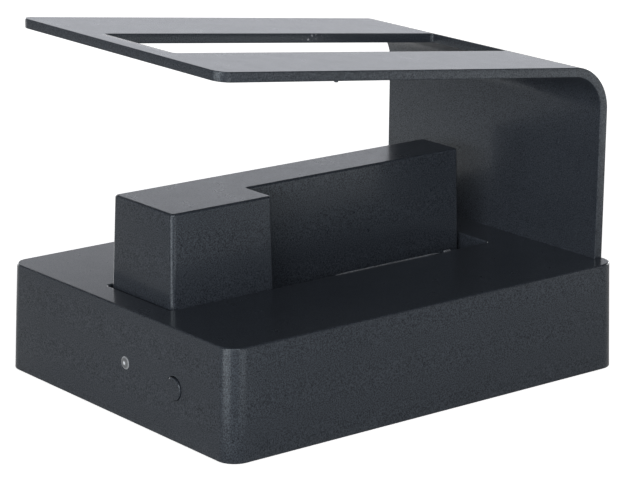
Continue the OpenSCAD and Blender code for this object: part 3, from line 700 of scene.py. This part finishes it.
        points = np.stack(rows)
        walls = WallPair(points, np.zeros(points.shape[:2], bool), outer_row, inner_row)
        work = Patchwork()
        for hole in (self.lamp, self.button):
            ends = (hole[0] - self.hole_pad, hole[0] + self.hole_pad)
            self._round_hole(work, hole, *walls.cut(hole_z, ring.columns(Side.FRONT, ends)))
        for pair in self.port_xs:
            work.grid(np.stack(walls.cut(self.port_z, ring.columns(Side.REAR, pair[::-1]))), close_cols=True)
        work.grid(points, close_rows=True, close_cols=True, skip=walls.skip)
        return work.piece("housing_shell")

    def _round_hole(self, work: Patchwork, hole: Triple, outer: Array, inner: Array) -> None:
        """Lines a round hole through the front wall.

        The square round the hole shrinks in steps onto the circle, the edge is a small quarter-round, and the bore
        widens again to the same square on the inner wall.

        Args:
            work: the piece being built.
            hole: the hole's X, Z and radius.
            outer: points round the square on the outer wall.
            inner: points round the square on the inner wall.
        """
        x, z, r = hole
        angle = np.arctan2(outer[:, 2] - z, outer[:, 0] - x)

        def circle(radius: float, depth: float) -> Array:
            """Circle of the hole at that depth below the drafted face."""
            height = z + radius * np.sin(angle)
            y = self.face_inset(height) - self.length / 2 + depth
            return np.column_stack([x + radius * np.cos(angle), y, height])

        front, back = circle(r + self.hole_edge, 0.0), circle(r, self.wall)
        rows = [front + (outer - front) * t for t in self.outer_shares]
        rows += [circle(r + self.hole_edge * (1 - u), self.hole_edge * i) for i, u in quarter(4)]
        rows += [back + (inner - back) * t for t in self.inner_shares]
        work.grid(np.stack(rows), close_cols=True)


@dataclass
class SlotLip:
    """Fine lip that the mould left along the slot's right rim, with a stub behind it."""

    x: float = 13.28
    top_z: float = 28.85
    lip: Quad = (-3.8, 31.4, 0.12, 0.24)
    stub: Quad = (33.2, 35.6, 0.24, 0.42)
    sink: float = 0.2
    blunt: int = 8
    tip: float = 0.05
    stations: int = 41
    arc_points: int = 9
    sharp_deg: float = 60.0

    def _bead(self, work: Patchwork, span: Quad) -> None:
        """Carries a round-topped section along Y; half width and height swell as sqrt(1 - t^blunt) from both ends.

        Args:
            work: the piece being built.
            span: first and last Y, half width and height.
        """
        y0, y1, half, high = span
        t = np.linspace(-1.0, 1.0, self.stations)[:, None]
        swell = np.sqrt(np.clip(1 - t**self.blunt, 0.0, 1.0))
        a = np.linspace(0.0, math.pi, self.arc_points)
        x = np.concatenate([[half], half * np.cos(a), [-half]])
        z = np.concatenate([[-self.sink], high * np.sin(a), [-self.sink]])
        sides = self.x + x * (self.tip + (1 - self.tip) * swell)
        heights = self.top_z + np.where(z > 0, z * swell, z)
        along = (y0 + y1) / 2 + t * (y1 - y0) / 2
        points = np.stack(np.broadcast_arrays(sides, along, heights), axis=-1)
        work.grid(points, close_cols=True)
        work.cap(points[0])
        work.cap(points[-1][::-1])

    def build(self) -> bpy.types.Object:
        """Builds the lip and the stub as one piece, sunk a little into the housing."""
        work = Patchwork()
        for span in (self.lip, self.stub):
            self._bead(work, span)
        return work.piece("slot_lip", self.sharp_deg)


@dataclass
class GuideBracket:
    """Bent plate over the slot: foot, wall, bend and a frame that rises to the front round a long opening."""

    half_w: float = 42.2
    thick: float = 2.5
    rear_y: float = 63.15
    foot_z: float = 19.2
    top_z: float = 79.8
    slope_deg: float = 6.5
    bend_r: float = 12.6
    front_y: float = -62.35
    corner_r: float = 3.6
    open_x: float = 14.7
    open_s: Pair = (-55.35, 52.15)
    opening_r: float = 0.8
    edge_r: float = 0.2
    support: float = 0.14
    square_l: float = 3.0
    screw_xs: tuple[float, ...] = (-34.0, -14.0, 14.0, 34.0)
    screw_z: float = 24.025
    screw_pad: float = 3.2
    head_r: float = 2.45
    shank_r: float = 1.35
    sink: float = 1.2
    screw_shares: tuple[float, ...] = (1.0, 0.5, 0.1, 0.0)
    gate: Pair = (41.2, -27.15)
    gate_r: float = 0.5
    gate_h: float = 0.4
    gate_round: float = 0.15
    gate_root: float = 0.6
    gate_segments: int = 24
    corner_shares: tuple[float, ...] = (0.0, 0.125, 0.25, 0.375, 0.5, 0.625, 0.75, 0.875, 0.985, 1.0)
    opening_steps: int = 6
    pad_lines: int = 11
    bend_lines: int = 23
    bend_gap: float = 0.3
    arm_lines: tuple[float, ...] = (0.0, 7.0, 24.0)
    frame_lines: tuple[float, ...] = (-40.0, -20.0, 0.0, 20.0, 40.0)
    wall_lines: Pair = (12.0, 30.0)
    line_digits: int = 5
    same_line: float = 1e-4

    def __post_init__(self) -> None:
        """Works out the side profile: where the bend starts and how long each stretch is."""
        self.slope = math.radians(self.slope_deg)
        self.bend_y = self.rear_y - self.bend_r
        self.bend_z = self.top_z + self.bend_r * math.tan(self.slope) - self.bend_r / math.cos(self.slope)
        self.bend_s = self.bend_y + self.bend_r * math.sin(self.slope)
        self.bend_l = self.bend_r * (RIGHT_ANGLE - self.slope)
        self.wall_s = self.bend_s + self.bend_l
        self.end_s = self.wall_s + self.bend_z - self.foot_z
        self.screw_s = self.wall_s + self.bend_z - self.screw_z

    def bend(self, flat: Array, depth: float) -> Array:
        """Bends flat points into place.

        Along s the outer face is a straight slope, then an arc about the bend's middle, then an upright wall. Depth
        goes straight down in the frame, and square to the face past the opening.

        Args:
            flat: points x 2, X and s.
            depth: depth below the outer face.

        Returns:
            Points x 3.
        """
        x, s = flat[..., 0], flat[..., 1]
        turn = np.clip((s - self.bend_s) / self.bend_r, 0.0, self.bend_l / self.bend_r)
        a = RIGHT_ANGLE - self.slope - turn
        ny, nz = np.cos(a), np.sin(a)
        lead = np.minimum(s - self.bend_s, 0.0)
        drop = np.maximum(s - self.wall_s, 0.0)
        y = self.bend_y + self.bend_r * ny + lead
        z = self.bend_z + self.bend_r * nz - lead * math.tan(self.slope) - drop
        tilt = np.clip(1 - (s - self.open_s[1]) / self.square_l, 0.0, 1.0)
        lean = -np.tan(RIGHT_ANGLE - a) * tilt
        return np.stack([x, y - depth * (ny + lean * nz), z - depth * (nz - lean * ny)], axis=-1)

    def _lines(self) -> tuple[Array, Array]:
        """X lines and s lines of the flat pattern, at no inset."""
        c = np.array(self.corner_shares)
        pad = np.linspace(-self.screw_pad, self.screw_pad, self.pad_lines)
        out_x = self.half_w - self.corner_r + self.corner_r * c
        hole_x = [self.open_x - self.opening_r, self.open_x]
        screws = [v + pad for v in self.screw_xs if v > 0]
        right = np.unique(np.round(np.concatenate([self.arm_lines, hole_x, *screws, out_x]), self.line_digits))
        low, high = self.open_s
        turn = self.bend_s + self.bend_l * np.linspace(0.0, 1.0, self.bend_lines)
        ss = [
            self.front_y + self.corner_r * (1 - c[::-1]),
            [low, low + self.opening_r, *self.frame_lines, high - self.opening_r, high],
            turn[turn > high + self.bend_gap],
            [self.wall_s + v for v in self.wall_lines],
            self.screw_s + pad,
            [self.end_s - self.edge_r - self.support, self.end_s],
        ]
        return np.unique(np.append(-right, right)), np.unique(np.round(np.concatenate(ss), self.line_digits))

    def _pattern(self, xs: Array, ss: Array, inset: float) -> Array:
        """Flat pattern with its outline drawn in and its opening widened by inset.

        Lines past the corner middle shrink in proportion, and each front corner square is mapped onto a quarter disc
        by x = a sqrt(1 - b b / 2), y = b sqrt(1 - a a / 2).

        Args:
            xs: X lines at no inset.
            ss: s lines at no inset.
            inset: how far the outline is drawn in.

        Returns:
            s lines x X lines x 2.
        """
        corner_x, corner_s = self.half_w - self.corner_r, self.front_y + self.corner_r
        r = self.corner_r - inset
        scale = r / self.corner_r
        x = np.where(np.abs(xs) > corner_x, np.sign(xs) * (corner_x + (np.abs(xs) - corner_x) * scale), xs)
        x = np.where(np.isclose(np.abs(xs), self.open_x), x + np.sign(xs) * inset, x)
        s = np.where(ss < corner_s, corner_s - (corner_s - ss) * scale, ss)
        for line, way in ((self.open_s[0], -1), (self.open_s[1], 1), (self.end_s, -1)):
            s = np.where(np.isclose(ss, line, atol=self.same_line), s + way * inset, s)
        flat = np.stack(np.meshgrid(x, s), axis=-1)
        a = np.clip((np.abs(flat[..., 0]) - corner_x) / r, 0.0, 1.0)
        b = np.clip((corner_s - flat[..., 1]) / r, 0.0, 1.0)
        disc_x = np.sign(flat[..., 0]) * (corner_x + r * a * np.sqrt(1 - b * b / 2))
        disc_s = corner_s - r * b * np.sqrt(1 - a * a / 2)
        inside = ((a > 0) & (b > 0))[..., None]
        return np.where(inside, np.stack([disc_x, disc_s], axis=-1), flat)

    def _opening_ring(self, xs: Array, ss: Array, inset: float) -> Array:
        """Once round the opening, widened by inset: lines of the pattern along its sides and arcs in its corners."""
        x1, (s0, s1), r = self.open_x, self.open_s, self.opening_r
        inner_x = xs[np.abs(xs) <= x1 - r + TINY]
        inner_s = ss[(ss >= s0 + r - TINY) & (ss <= s1 - r + TINY)]
        box = (-x1 - inset, x1 + inset, s0 - inset, s1 + inset)
        return round_loop(box, r + inset, [inner_x, inner_s, inner_x[::-1], inner_s[::-1]], self.opening_steps)

    def _fillets(self, work: Patchwork, xs: Array, inset: float, depth: float) -> None:
        """Fills the four corners of the opening between their square corner and their arc, at one depth."""
        x1, r = self.open_x, self.opening_r
        a = np.linspace(0.0, RIGHT_ANGLE, self.opening_steps + 1)
        between = xs[(xs > x1 - r + TINY) & (xs < x1 - TINY)]
        for sx in (-1.0, 1.0):
            for s, sy in zip(self.open_s, (-1.0, 1.0)):
                tip = [[sx * (x1 + inset), s + sy * inset]]
                arc_x, arc_s = x1 - r + (r + inset) * np.cos(a), (r + inset) * np.sin(a) - r
                arc = np.column_stack([sx * arc_x, s + sy * arc_s])
                edge = np.column_stack([sx * between, np.full(len(between), s + sy * inset)])
                work.cap(self.bend(np.concatenate([tip, arc, edge]), depth))

    def build(self) -> bpy.types.Object:
        """Builds the bracket: outer and inner face from one flat pattern, rounded rims and screw holes.

        Returns:
            The bracket.
        """
        xs, ss = self._lines()
        work = Patchwork()
        face = self._pattern(xs, ss, self.edge_r)
        open_x = (xs[:-1] >= -self.open_x - TINY) & (xs[1:] <= self.open_x + TINY)
        open_s = (ss[:-1] >= self.open_s[0] - TINY) & (ss[1:] <= self.open_s[1] + TINY)
        skip = open_s[:, None] & open_x[None, :]
        rows = nearest(ss, (self.screw_s - self.screw_pad, self.screw_s + self.screw_pad))
        for x in self.screw_xs:
            cols = nearest(xs, (x - self.screw_pad, x + self.screw_pad))
            skip[slice(*rows), slice(*cols)] = True
            self._screw_hole(work, window_ring(face, rows, cols), (x, self.screw_s))
        for depth in (0.0, self.thick):
            work.grid(self.bend(face, depth), skip=skip)
        down = [(self.edge_r * (1 - u), self.edge_r * i) for i, u in quarter(4)]
        steps = down + [(inset, self.thick - depth) for inset, depth in down[::-1]]
        whole = ((0, len(ss) - 1), (0, len(xs) - 1))
        outline = [window_ring(self._pattern(xs, ss, inset), *whole) for inset, _ in steps]
        mouth = [self._opening_ring(xs, ss, inset) for inset, _ in steps]
        for rings in (outline, mouth):
            work.grid(np.stack([self.bend(ring, depth) for ring, (_, depth) in zip(rings, steps)]), close_cols=True)
        for depth in (0.0, self.thick):
            self._fillets(work, xs, self.edge_r, depth)
        return work.piece("guide_bracket")

    def _screw_hole(self, work: Patchwork, square: Array, at: Pair) -> None:
        """Countersunk hole: the square shrinks onto the sink's circle, a cone narrows to the bore, and out again.

        Args:
            work: the piece being built.
            square: points round the square that the hole takes in the flat pattern.
            at: the hole's middle in the flat pattern.
        """
        angle = np.arctan2(square[:, 1] - at[1], square[:, 0] - at[0])
        way = np.column_stack([np.cos(angle), np.sin(angle)])
        sink, bore = np.array(at) + self.head_r * way, np.array(at) + self.shank_r * way
        rings = [(sink + (square - sink) * t, 0.0) for t in self.screw_shares]
        rings.append((bore, self.sink))
        rings += [(bore + (square - bore) * t, self.thick) for t in self.screw_shares[::-1]]
        work.grid(np.stack([self.bend(ring, depth) for ring, depth in rings]), close_cols=True)

    def gate_mark(self) -> bpy.types.Object:
        """Small stub left under the right arm where the mould was filled: a short drum with a rounded end."""
        x, y = self.gate
        under = float(self.bend(np.array([x, y]), self.thick)[2])
        i, u = self.gate_round * quarter(4).T
        root = [[self.gate_r, self.gate_root], [self.gate_r, 0.0]]
        end = np.column_stack([self.gate_r - i, self.gate_round - self.gate_h - u])
        profile = np.concatenate([root, end, [[0.0, -self.gate_h]]])
        points = lathe_y(profile, (x, under, y), self.gate_segments)[..., [0, 2, 1]]
        work = Patchwork()
        work.grid(points, close_cols=True)
        work.cap(points[0])
        return work.piece("gate_stub")


@dataclass
class AdapterBlock:
    """Lift-out block: an L in plan, hollow below, with drafted sides and rounded edges."""

    xs: Pair = (-13.4, 12.8)
    ys: Pair = (-55.0, 48.6)
    step_x: float = 2.2
    step_y: float = -23.0
    seat_z: float = 9.6
    rim_z: float = 28.85
    top_z: float = 52.7
    draft: float = 0.55
    draft_share: float = 0.995
    upright_r: float = 1.25
    least_r: float = 0.2
    inner_r: float = 0.4
    edge_r: float = 0.6
    foot_bevel: float = 0.15
    wall: float = 1.6
    support: float = 0.12
    ribs: int = 4
    rib_t: float = 1.2
    rib_share: float = 0.6
    arc_steps: int = 8

    def ring(self, z: float, inset: float, tighten: float) -> Array:
        """The L's outline at one height: quarter circles at its five outer corners and its inner one.

        Each corner is a row of its X and Y, the way to its arc's middle, and the arc's first angle and turn.

        Args:
            z: height.
            inset: how far the sides are drawn in.
            tighten: how much smaller the outer radii get, and how much larger the inner one.

        Returns:
            Points x 3, anticlockwise.
        """
        (x0, x1), (y0, y1) = self.xs, self.ys
        corners = np.array(
            [
                [x0, y0, 1, 1, 180, 90], [x1, y0, -1, 1, 270, 90], [x1, self.step_y, -1, -1, 0, 90],
                [self.step_x, self.step_y, 1, 1, 270, -90], [self.step_x, y1, -1, -1, 0, 90], [x0, y1, 1, -1, 90, 90],
            ],
            float,
        )
        outside = corners[:, 5:] > 0
        r = np.where(outside, max(self.upright_r - tighten, self.least_r), self.inner_r + tighten)
        middle = corners[:, :2] + corners[:, 2:4] * np.where(outside, r + inset, r - inset)
        a = np.radians(corners[:, 4:5] + corners[:, 5:] * np.linspace(0.0, 1.0, self.arc_steps + 1))
        flat = middle[:, None, :] + r[..., None] * np.stack([np.cos(a), np.sin(a)], axis=-1)
        return at_height(flat.reshape(-1, 2), z)

    def build(self) -> bpy.types.Object:
        """Builds the block: rings climb the outside, close over the top, and line the hollow, with ribs across it.

        Returns:
            The block.
        """
        straight, bevel = self.top_z - self.edge_r, self.foot_bevel
        rows = [
            self.ring(self.seat_z, bevel, bevel), self.ring(self.seat_z + bevel, 0.0, 0.0),
            self.ring(self.rim_z, 0.0, 0.0), self.ring(straight - self.support, self.draft * self.draft_share, 0.0),
        ]
        rows += [
            self.ring(straight + self.edge_r * u, self.draft + self.edge_r * i, self.edge_r * i) for i, u in quarter(7)
        ]
        rows.append(self.ring(self.top_z, self.draft + self.edge_r + self.support, self.edge_r + self.support))
        work = Patchwork()
        work.grid(np.stack(rows), close_cols=True)
        work.cap(rows[-1])
        hollow = [
            rows[0], self.ring(self.seat_z, self.wall, self.wall), self.ring(self.rim_z, self.wall, self.wall),
            self.ring(self.top_z - self.wall, self.draft + self.wall, self.wall),
        ]
        work.grid(np.stack(hollow), close_cols=True)
        work.cap(hollow[-1][::-1])
        for y in np.linspace(*self.ys, self.ribs + 2)[1:-1]:
            self._rib(work, y)
        return work.piece("adapter_block_skin")

    def _rib(self, work: Patchwork, y: float) -> None:
        """Adds one cross rib under the block's top: a flat band swept from wall to wall."""
        sink, half = self.wall * self.rib_share, self.rib_t / 2
        low, high = self.rim_z, self.top_z - sink
        band = np.array([[y - half, low], [y + half, low], [y + half, high], [y - half, high]])
        x0, x1 = self.xs[0] + self.draft + sink, self.step_x - self.draft - sink
        ends = np.stack([np.insert(band, 0, x, axis=1) for x in (x0, x1)])
        work.grid(ends, close_cols=True)
        work.cap(ends[0])
        work.cap(ends[1][::-1])


@dataclass
class FrontControls:
    """Push button and indicator lamp in the front wall, each turned about the middle of its front."""

    button_at: Triple = (25.35, -63.96, 13.6)
    button_r: float = 2.87
    button_edge: float = 0.22
    support: float = 0.1
    seat: float = 3.4
    flange_r: float = 4.2
    flange_t: float = 1.0
    stem_r: float = 1.5
    stem_l: float = 2.0
    lamp_at: Triple = (4.9, -63.634, 14.9)
    lamp_r: float = 1.66
    dome: float = 0.34
    dome_points: int = 14
    lamp_support: float = 0.15
    lamp_seat: float = 3.65
    lamp_flange_r: float = 2.0
    lamp_flange_t: float = 0.9
    lamp_segments: int = 64

    def button(self) -> bpy.types.Object:
        """Turned button: flat front with a rounded edge, drum, stop flange and stem."""
        r, e = self.button_r, self.button_edge
        back = self.seat + self.flange_t
        end = back + self.stem_l
        front = [[0.0, 0.0], [r - e - self.support, 0.0]]
        edge = [[r - e + e * u, e * i] for i, u in quarter(6)]
        drum = [[r, e + self.support], [r, self.seat], [self.flange_r, self.seat], [self.flange_r, back]]
        stem = [[self.stem_r, back], [self.stem_r, end], [0.0, end]]
        return turned("push_button", np.array(front + edge + drum + stem), self.button_at)

    def lamp(self) -> bpy.types.Object:
        """Turned lamp: a shallow dome on a drum with a seat flange behind the wall."""
        ball = (self.lamp_r**2 + self.dome**2) / (2 * self.dome)
        a = np.linspace(0.0, math.asin(self.lamp_r / ball), self.dome_points)
        crown = np.column_stack([ball * np.sin(a), ball * (1 - np.cos(a)) - self.dome])
        back = self.lamp_seat + self.lamp_flange_t
        drum = [
            [self.lamp_r, self.lamp_support], [self.lamp_r, self.lamp_seat], [self.lamp_flange_r, self.lamp_seat],
            [self.lamp_flange_r, back], [0.0, back],
        ]
        return turned("lamp_lens", np.concatenate([crown, drum]), self.lamp_at, self.lamp_segments)


def outward(azimuth: float, elevation: float) -> Vector:
    """Direction from the part by two angles in degrees: azimuth 0 is to the front, 90 to the right."""
    a, e = math.radians(azimuth), math.radians(elevation)
    return Vector((math.sin(a) * math.cos(e), -math.cos(a) * math.cos(e), math.sin(e)))


@dataclass(frozen=True)
class SoftBox:
    """Studio lamp with a soft rectangular face, aimed at the part."""

    name: str
    azimuth: float
    elevation: float
    distance: float
    size: Pair
    power: float

    def place(self, target: Vector) -> None:
        """Puts the lamp round the target."""
        way = outward(self.azimuth, self.elevation)
        data = bpy.data.lights.new(self.name, "AREA")
        data.shape = "RECTANGLE"
        data.size, data.size_y = self.size
        data.energy = self.power
        lamp = bpy.data.objects.new(self.name, data)
        lamp.location = target + way * self.distance
        lamp.rotation_mode = "QUATERNION"
        lamp.rotation_quaternion = (-way).to_track_quat("-Z", "Y")
        bpy.context.scene.collection.objects.link(lamp)


@dataclass(frozen=True)
class Pool:
    """Pool of light on the floor: the point that it is measured from, its bearing, half width and reach from there."""

    middle_mm: Triple
    bearing: float
    half: float
    reach_mm: Pair
    level: float
    core: float = 0.6


@dataclass
class Studio:
    """White sweep, soft boxes and the camera: sizes of the view in millimetres, of the room in metres."""

    azimuth: float = 51.16
    elevation: float = 15.58
    roll: float = 0.53
    distance_mm: float = 702.6
    shift_mm: Pair = (-0.257, 31.72)
    lens_mm: float = 153.31
    sensor_mm: float = 36.0
    clip_m: Pair = (0.01, 50.0)
    ambient: float = 0.1
    room: float = 0.05
    backdrop_side: Pair = (0.1, 0.5)
    backdrop: tuple[Pair, ...] = ((0.0, 0.77), (0.18, 0.77), (0.24, 0.88), (0.27, 0.88), (0.31, 0.05))
    cool: Colour = (0.955, 0.98, 1.05)
    floor_m: float = 6.0
    floor_tone: float = 0.7
    floor_glow: float = 0.85
    floor_shine: float = 0.04
    pools: tuple[Pool, ...] = (
        Pool((46.0, -62.0, 0.0), 4.0, 26.0, (14.0, 115.0), 2.3, 0.75),
        Pool((46.0, -62.0, 0.0), 99.0, 24.0, (14.0, 115.0), 1.0, 0.75),
        Pool((0.0, 0.0, 0.0), -100.0, 42.0, (100.0, 150.0), 0.8),
        Pool((0.0, 0.0, 0.0), 142.0, 27.0, (215.0, 290.0), 0.95),
    )
    target: Triple = (0.0, 0.0, 0.04)
    boxes: tuple[SoftBox, ...] = (
        SoftBox("front_strip", 27.0, 11.0, 1.2, (1.06, 0.26), 9.8),
        SoftBox("right_strip", 74.0, 26.0, 0.7, (0.45, 0.15), 1.45),
        SoftBox("rear_box", 188.0, 8.0, 1.2, (0.8, 0.3), 6.0),
        SoftBox("left_box", 264.0, 8.0, 1.2, (0.8, 0.3), 4.0),
    )

    def camera(self) -> None:
        """Places the camera on the photograph's line of sight: back along it from a point over the part's middle."""
        az, roll = math.radians(self.azimuth), math.radians(self.roll)
        back = outward(self.azimuth, self.elevation)
        right = Vector((math.cos(az), math.sin(az), 0.0))
        up = back.cross(right)
        across = math.cos(roll) * right + math.sin(roll) * up
        upright = -math.sin(roll) * right + math.cos(roll) * up
        place = (across * self.shift_mm[0] + upright * self.shift_mm[1] + back * self.distance_mm) * MM
        data = bpy.data.cameras.new("photo_camera")
        data.lens, data.sensor_width, data.sensor_fit = self.lens_mm, self.sensor_mm, "HORIZONTAL"
        data.clip_start, data.clip_end = self.clip_m
        camera = bpy.data.objects.new("photo_camera", data)
        columns = ((*across, 0.0), (*upright, 0.0), (*back, 0.0), (*place, 1.0))
        camera.matrix_world = Matrix(columns).transposed()
        bpy.context.scene.collection.objects.link(camera)
        bpy.context.scene.camera = camera

    def world(self) -> None:
        """White for the camera; reflections get a white backdrop up to the part's top edge, and a dim room."""
        world = bpy.data.worlds.new("white_sweep")
        world.use_nodes = True
        net = Net(world.node_tree)
        camera, mirrored = net.rays()
        way = net.add("ShaderNodeTexCoord").outputs["Generated"]
        az = math.radians(self.azimuth)
        ahead = net.vector("DOT_PRODUCT", way, (-math.sin(az), math.cos(az), 0.0))
        panel = net.ramp(net.split(way)["Z"], self.backdrop, self.cool)
        seen = net.tint(net.spread(ahead, *self.backdrop_side), (self.room,) * 3, panel)
        fill = net.tint(mirrored, (self.ambient,) * 3, seen)
        light = net.add("ShaderNodeBackground")
        net.feed(light, ("Color", net.tint(camera, fill, (1.0, 1.0, 1.0))))
        net.feed(net.add("ShaderNodeOutputWorld"), ("Surface", light.outputs["Background"]))
        bpy.context.scene.world = world

    def floor(self) -> None:
        """Pale floor: its own lit colour, which holds the part's shadow, with a glow that lifts it to white."""
        half = self.floor_m / 2
        corners = [(-half, -half, 0.0), (half, -half, 0.0), (half, half, 0.0), (-half, half, 0.0)]
        mesh = bpy.data.meshes.new("floor")
        mesh.from_pydata(corners, [], [[0, 1, 2, 3]])
        floor = bpy.data.objects.new("floor", mesh)
        bpy.context.scene.collection.objects.link(floor)
        material = bpy.data.materials.new("pale_floor")
        material.use_nodes = True
        net = Net(material.node_tree)
        matt = net.add("ShaderNodeBsdfDiffuse")
        net.feed(matt, ("Color", opaque((self.floor_tone,) * 3)))
        camera, mirrored = net.rays()
        glow = net.add("ShaderNodeEmission")
        shine = net.blend(mirrored, 0.0, self._pools(net))
        net.feed(glow, ("Color", opaque((1.0, 1.0, 1.0))), ("Strength", net.blend(camera, shine, self.floor_glow)))
        both = net.add("ShaderNodeAddShader")
        net.feed(both, (0, matt.outputs["BSDF"]), (1, glow.outputs["Emission"]))
        net.feed(net.add("ShaderNodeOutputMaterial"), ("Surface", both.outputs["Shader"]))
        mesh.materials.append(material)

    def _pools(self, net: Net) -> Source:
        """Pools of light that the boxes throw on the floor: each by the bearing and the distance from its own point.

        Args:
            net: the floor's nodes.

        Returns:
            The pools' brightness.
        """
        place = net.add("ShaderNodeTexCoord").outputs["Object"]
        total: Source = self.floor_shine
        for pool in self.pools:
            shift = net.vector("SUBTRACT", place, in_metres(pool.middle_mm))
            at = net.split(shift)
            bearing = net.maths("ARCTAN2", at["X"], net.maths("MULTIPLY", at["Y"], -1.0))
            off = net.maths("ABSOLUTE", net.maths("SUBTRACT", bearing, math.radians(pool.bearing)))
            half = math.radians(pool.half)
            soft = net.spread(off, half * pool.core, half, pool.level, 0.0)
            far = net.spread(net.vector("LENGTH", shift), *in_metres(pool.reach_mm))
            total = net.maths("ADD", total, net.maths("MULTIPLY", soft, far))
        return total

    def set_up(self) -> None:
        """Builds the stage: lamps for the two sides that the camera sees, and for the two that it doesn't."""
        self.camera()
        self.world()
        self.floor()
        for box in self.boxes:
            box.place(Vector(self.target))
        bpy.context.scene.view_settings.view_transform = "Standard"


@dataclass
class Dressing:
    """Finishes of the whole part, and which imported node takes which."""

    housing: MouldedPlastic = MouldedPlastic(
        "satin_black_plastic", (0.0264, 0.0312, 0.0396), (0.0296, 0.0347, 0.0438), (0.27, 0.31)
    )
    worn: MouldedPlastic = replace(
        housing, name="satin_black_plastic_worn", scuff=Patch((-14.7, 11.3, 84.5), (0.5, 4.6, 1.3))
    )
    # Lighter plastic for the slot's lip: a painted highlight, standing in for the bright line of light along the slot's
    # rim.
    lip_highlight: MouldedPlastic = MouldedPlastic(
        "painted_highlight_black_plastic", (0.085, 0.09, 0.1), (0.11, 0.117, 0.128), (0.25, 0.32)
    )
    inner: tuple[tuple[MouldedPlastic | PlainFinish, tuple[str, ...]], ...] = (
        (
            MouldedPlastic(
                "matt_black_plastic", (0.018, 0.019, 0.021), (0.024, 0.025, 0.027), (0.46, 0.56), 0.35, 0.012
            ),
            ("bottom_cover",),
        ),
        (
            PlainFinish("black_rubber", (0.012, 0.012, 0.012), (0.02, 0.02, 0.02), (0.7, 0.85), 0.0, 0.8, 0.02),
            ("rubber_feet",),
        ),
        (
            PlainFinish("green_laminate", (0.012, 0.085, 0.03), (0.016, 0.11, 0.04), (0.28, 0.4), 0.0, 2.5),
            ("main_board", "switch_board"),
        ),
        (
            PlainFinish("black_nylon", (0.012, 0.012, 0.013), (0.02, 0.02, 0.021), (0.38, 0.5)),
            ("switch_header", "tact_switch", "sata_receptacle", "dc_jack_body"),
        ),
        (
            PlainFinish("white_nylon", (0.72, 0.71, 0.67), (0.78, 0.77, 0.73), (0.35, 0.48)),
            ("switch_plunger", "usb_port_insert"),
        ),
        (
            PlainFinish("gold_plate", (0.80, 0.58, 0.22), (0.88, 0.66, 0.28), (0.2, 0.32), 1.0),
            ("sata_contacts", "usb_contacts"),
        ),
        (
            PlainFinish("nickel_plate", (0.58, 0.57, 0.54), (0.68, 0.67, 0.64), (0.24, 0.36), 1.0),
            (
                "usb_port_shell", "dc_jack_pin", "dc_jack_spring", "led_leads", "bridge_chip_leads", "crystal_can",
                "cover_screws", "board_screws",
            ),
        ),
        (
            PlainFinish("black_zinc", (0.03, 0.03, 0.033), (0.05, 0.05, 0.055), (0.34, 0.46), 0.7),
            ("bracket_screws",),
        ),
        (
            PlainFinish("chip_epoxy", (0.015, 0.015, 0.016), (0.024, 0.024, 0.026), (0.5, 0.62)),
            ("bridge_chip", "flash_chip", "regulator"),
        ),
        (PlainFinish("ferrite", (0.05, 0.05, 0.055), (0.08, 0.08, 0.085), (0.55, 0.7)), ("power_inductors",)),
        (
            PlainFinish("drawn_aluminium", (0.72, 0.73, 0.74), (0.8, 0.81, 0.82), (0.28, 0.4), 1.0),
            ("electrolytic_capacitors",),
        ),
        (
            PlainFinish("glazed_ceramic", (0.2, 0.16, 0.11), (0.28, 0.22, 0.16), (0.3, 0.42), 0.0, 0.4),
            ("chip_resistors",),
        ),
    )

    def nodes(self, frame: dict[str, Any]) -> bpy.types.Material:
        """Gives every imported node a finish, also those that a new piece stands for.


        Returns:
            The housing's material, for the new pieces.
        """
        outer = (self.housing, ("top_shell", "drive_bracket", "adapter_block", "power_button", "status_led"))
        made = []
        for finish, names in (outer, *self.inner):
            made.append(finish.material())
            for name in names:
                mesh = frame["nodes"][name].data
                mesh.materials.clear()
                mesh.materials.append(made[-1])
            LOG.info("%s: %s", finish.name, ", ".join(names))
        return made[0]


def settle(piece: bpy.types.Object, material: bpy.types.Material, body: Body, slot: str, *stands_for: str) -> None:
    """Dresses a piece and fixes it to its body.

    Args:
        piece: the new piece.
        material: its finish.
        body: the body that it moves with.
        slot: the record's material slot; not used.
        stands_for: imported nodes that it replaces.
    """
    piece.data.materials.append(material)
    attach(piece, body.value)
    if stands_for:
        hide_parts(*stands_for)
    LOG.info("%s: %d faces, on %s", piece.name, len(piece.data.polygons), body.value)


def main() -> None:
    """Builds the part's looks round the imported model, then the stage."""
    logging.basicConfig(level=logging.INFO, format="%(name)s %(message)s")
    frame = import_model()
    dressing = Dressing()
    black = dressing.nodes(frame)
    settle(Housing().build(), black, Body.BASE, "housing_plastic", "top_shell")
    bracket = GuideBracket()
    settle(bracket.build(), dressing.worn.material(), Body.BASE, "housing_plastic", "drive_bracket")
    settle(bracket.gate_mark(), black, Body.BASE, "housing_plastic")
    # The lip's lighter plastic is a painted highlight along the slot's rim.
    settle(SlotLip().build(), dressing.lip_highlight.material(), Body.BASE, "housing_plastic")
    settle(AdapterBlock().build(), black, Body.ADAPTER, "housing_plastic", "adapter_block")
    controls = FrontControls()
    settle(controls.button(), black, Body.BUTTON, "housing_plastic", "power_button")
    # The resin's tone rings are painted reflections of light in the clear lens.
    resin = LampResin("lamp_resin_painted_reflection", controls.lamp_at, controls.lamp_r)
    settle(controls.lamp(), resin.material(), Body.BASE, "lamp_lens", "status_led")
    Studio().set_up()


if __name__ == "__main__":
    main()
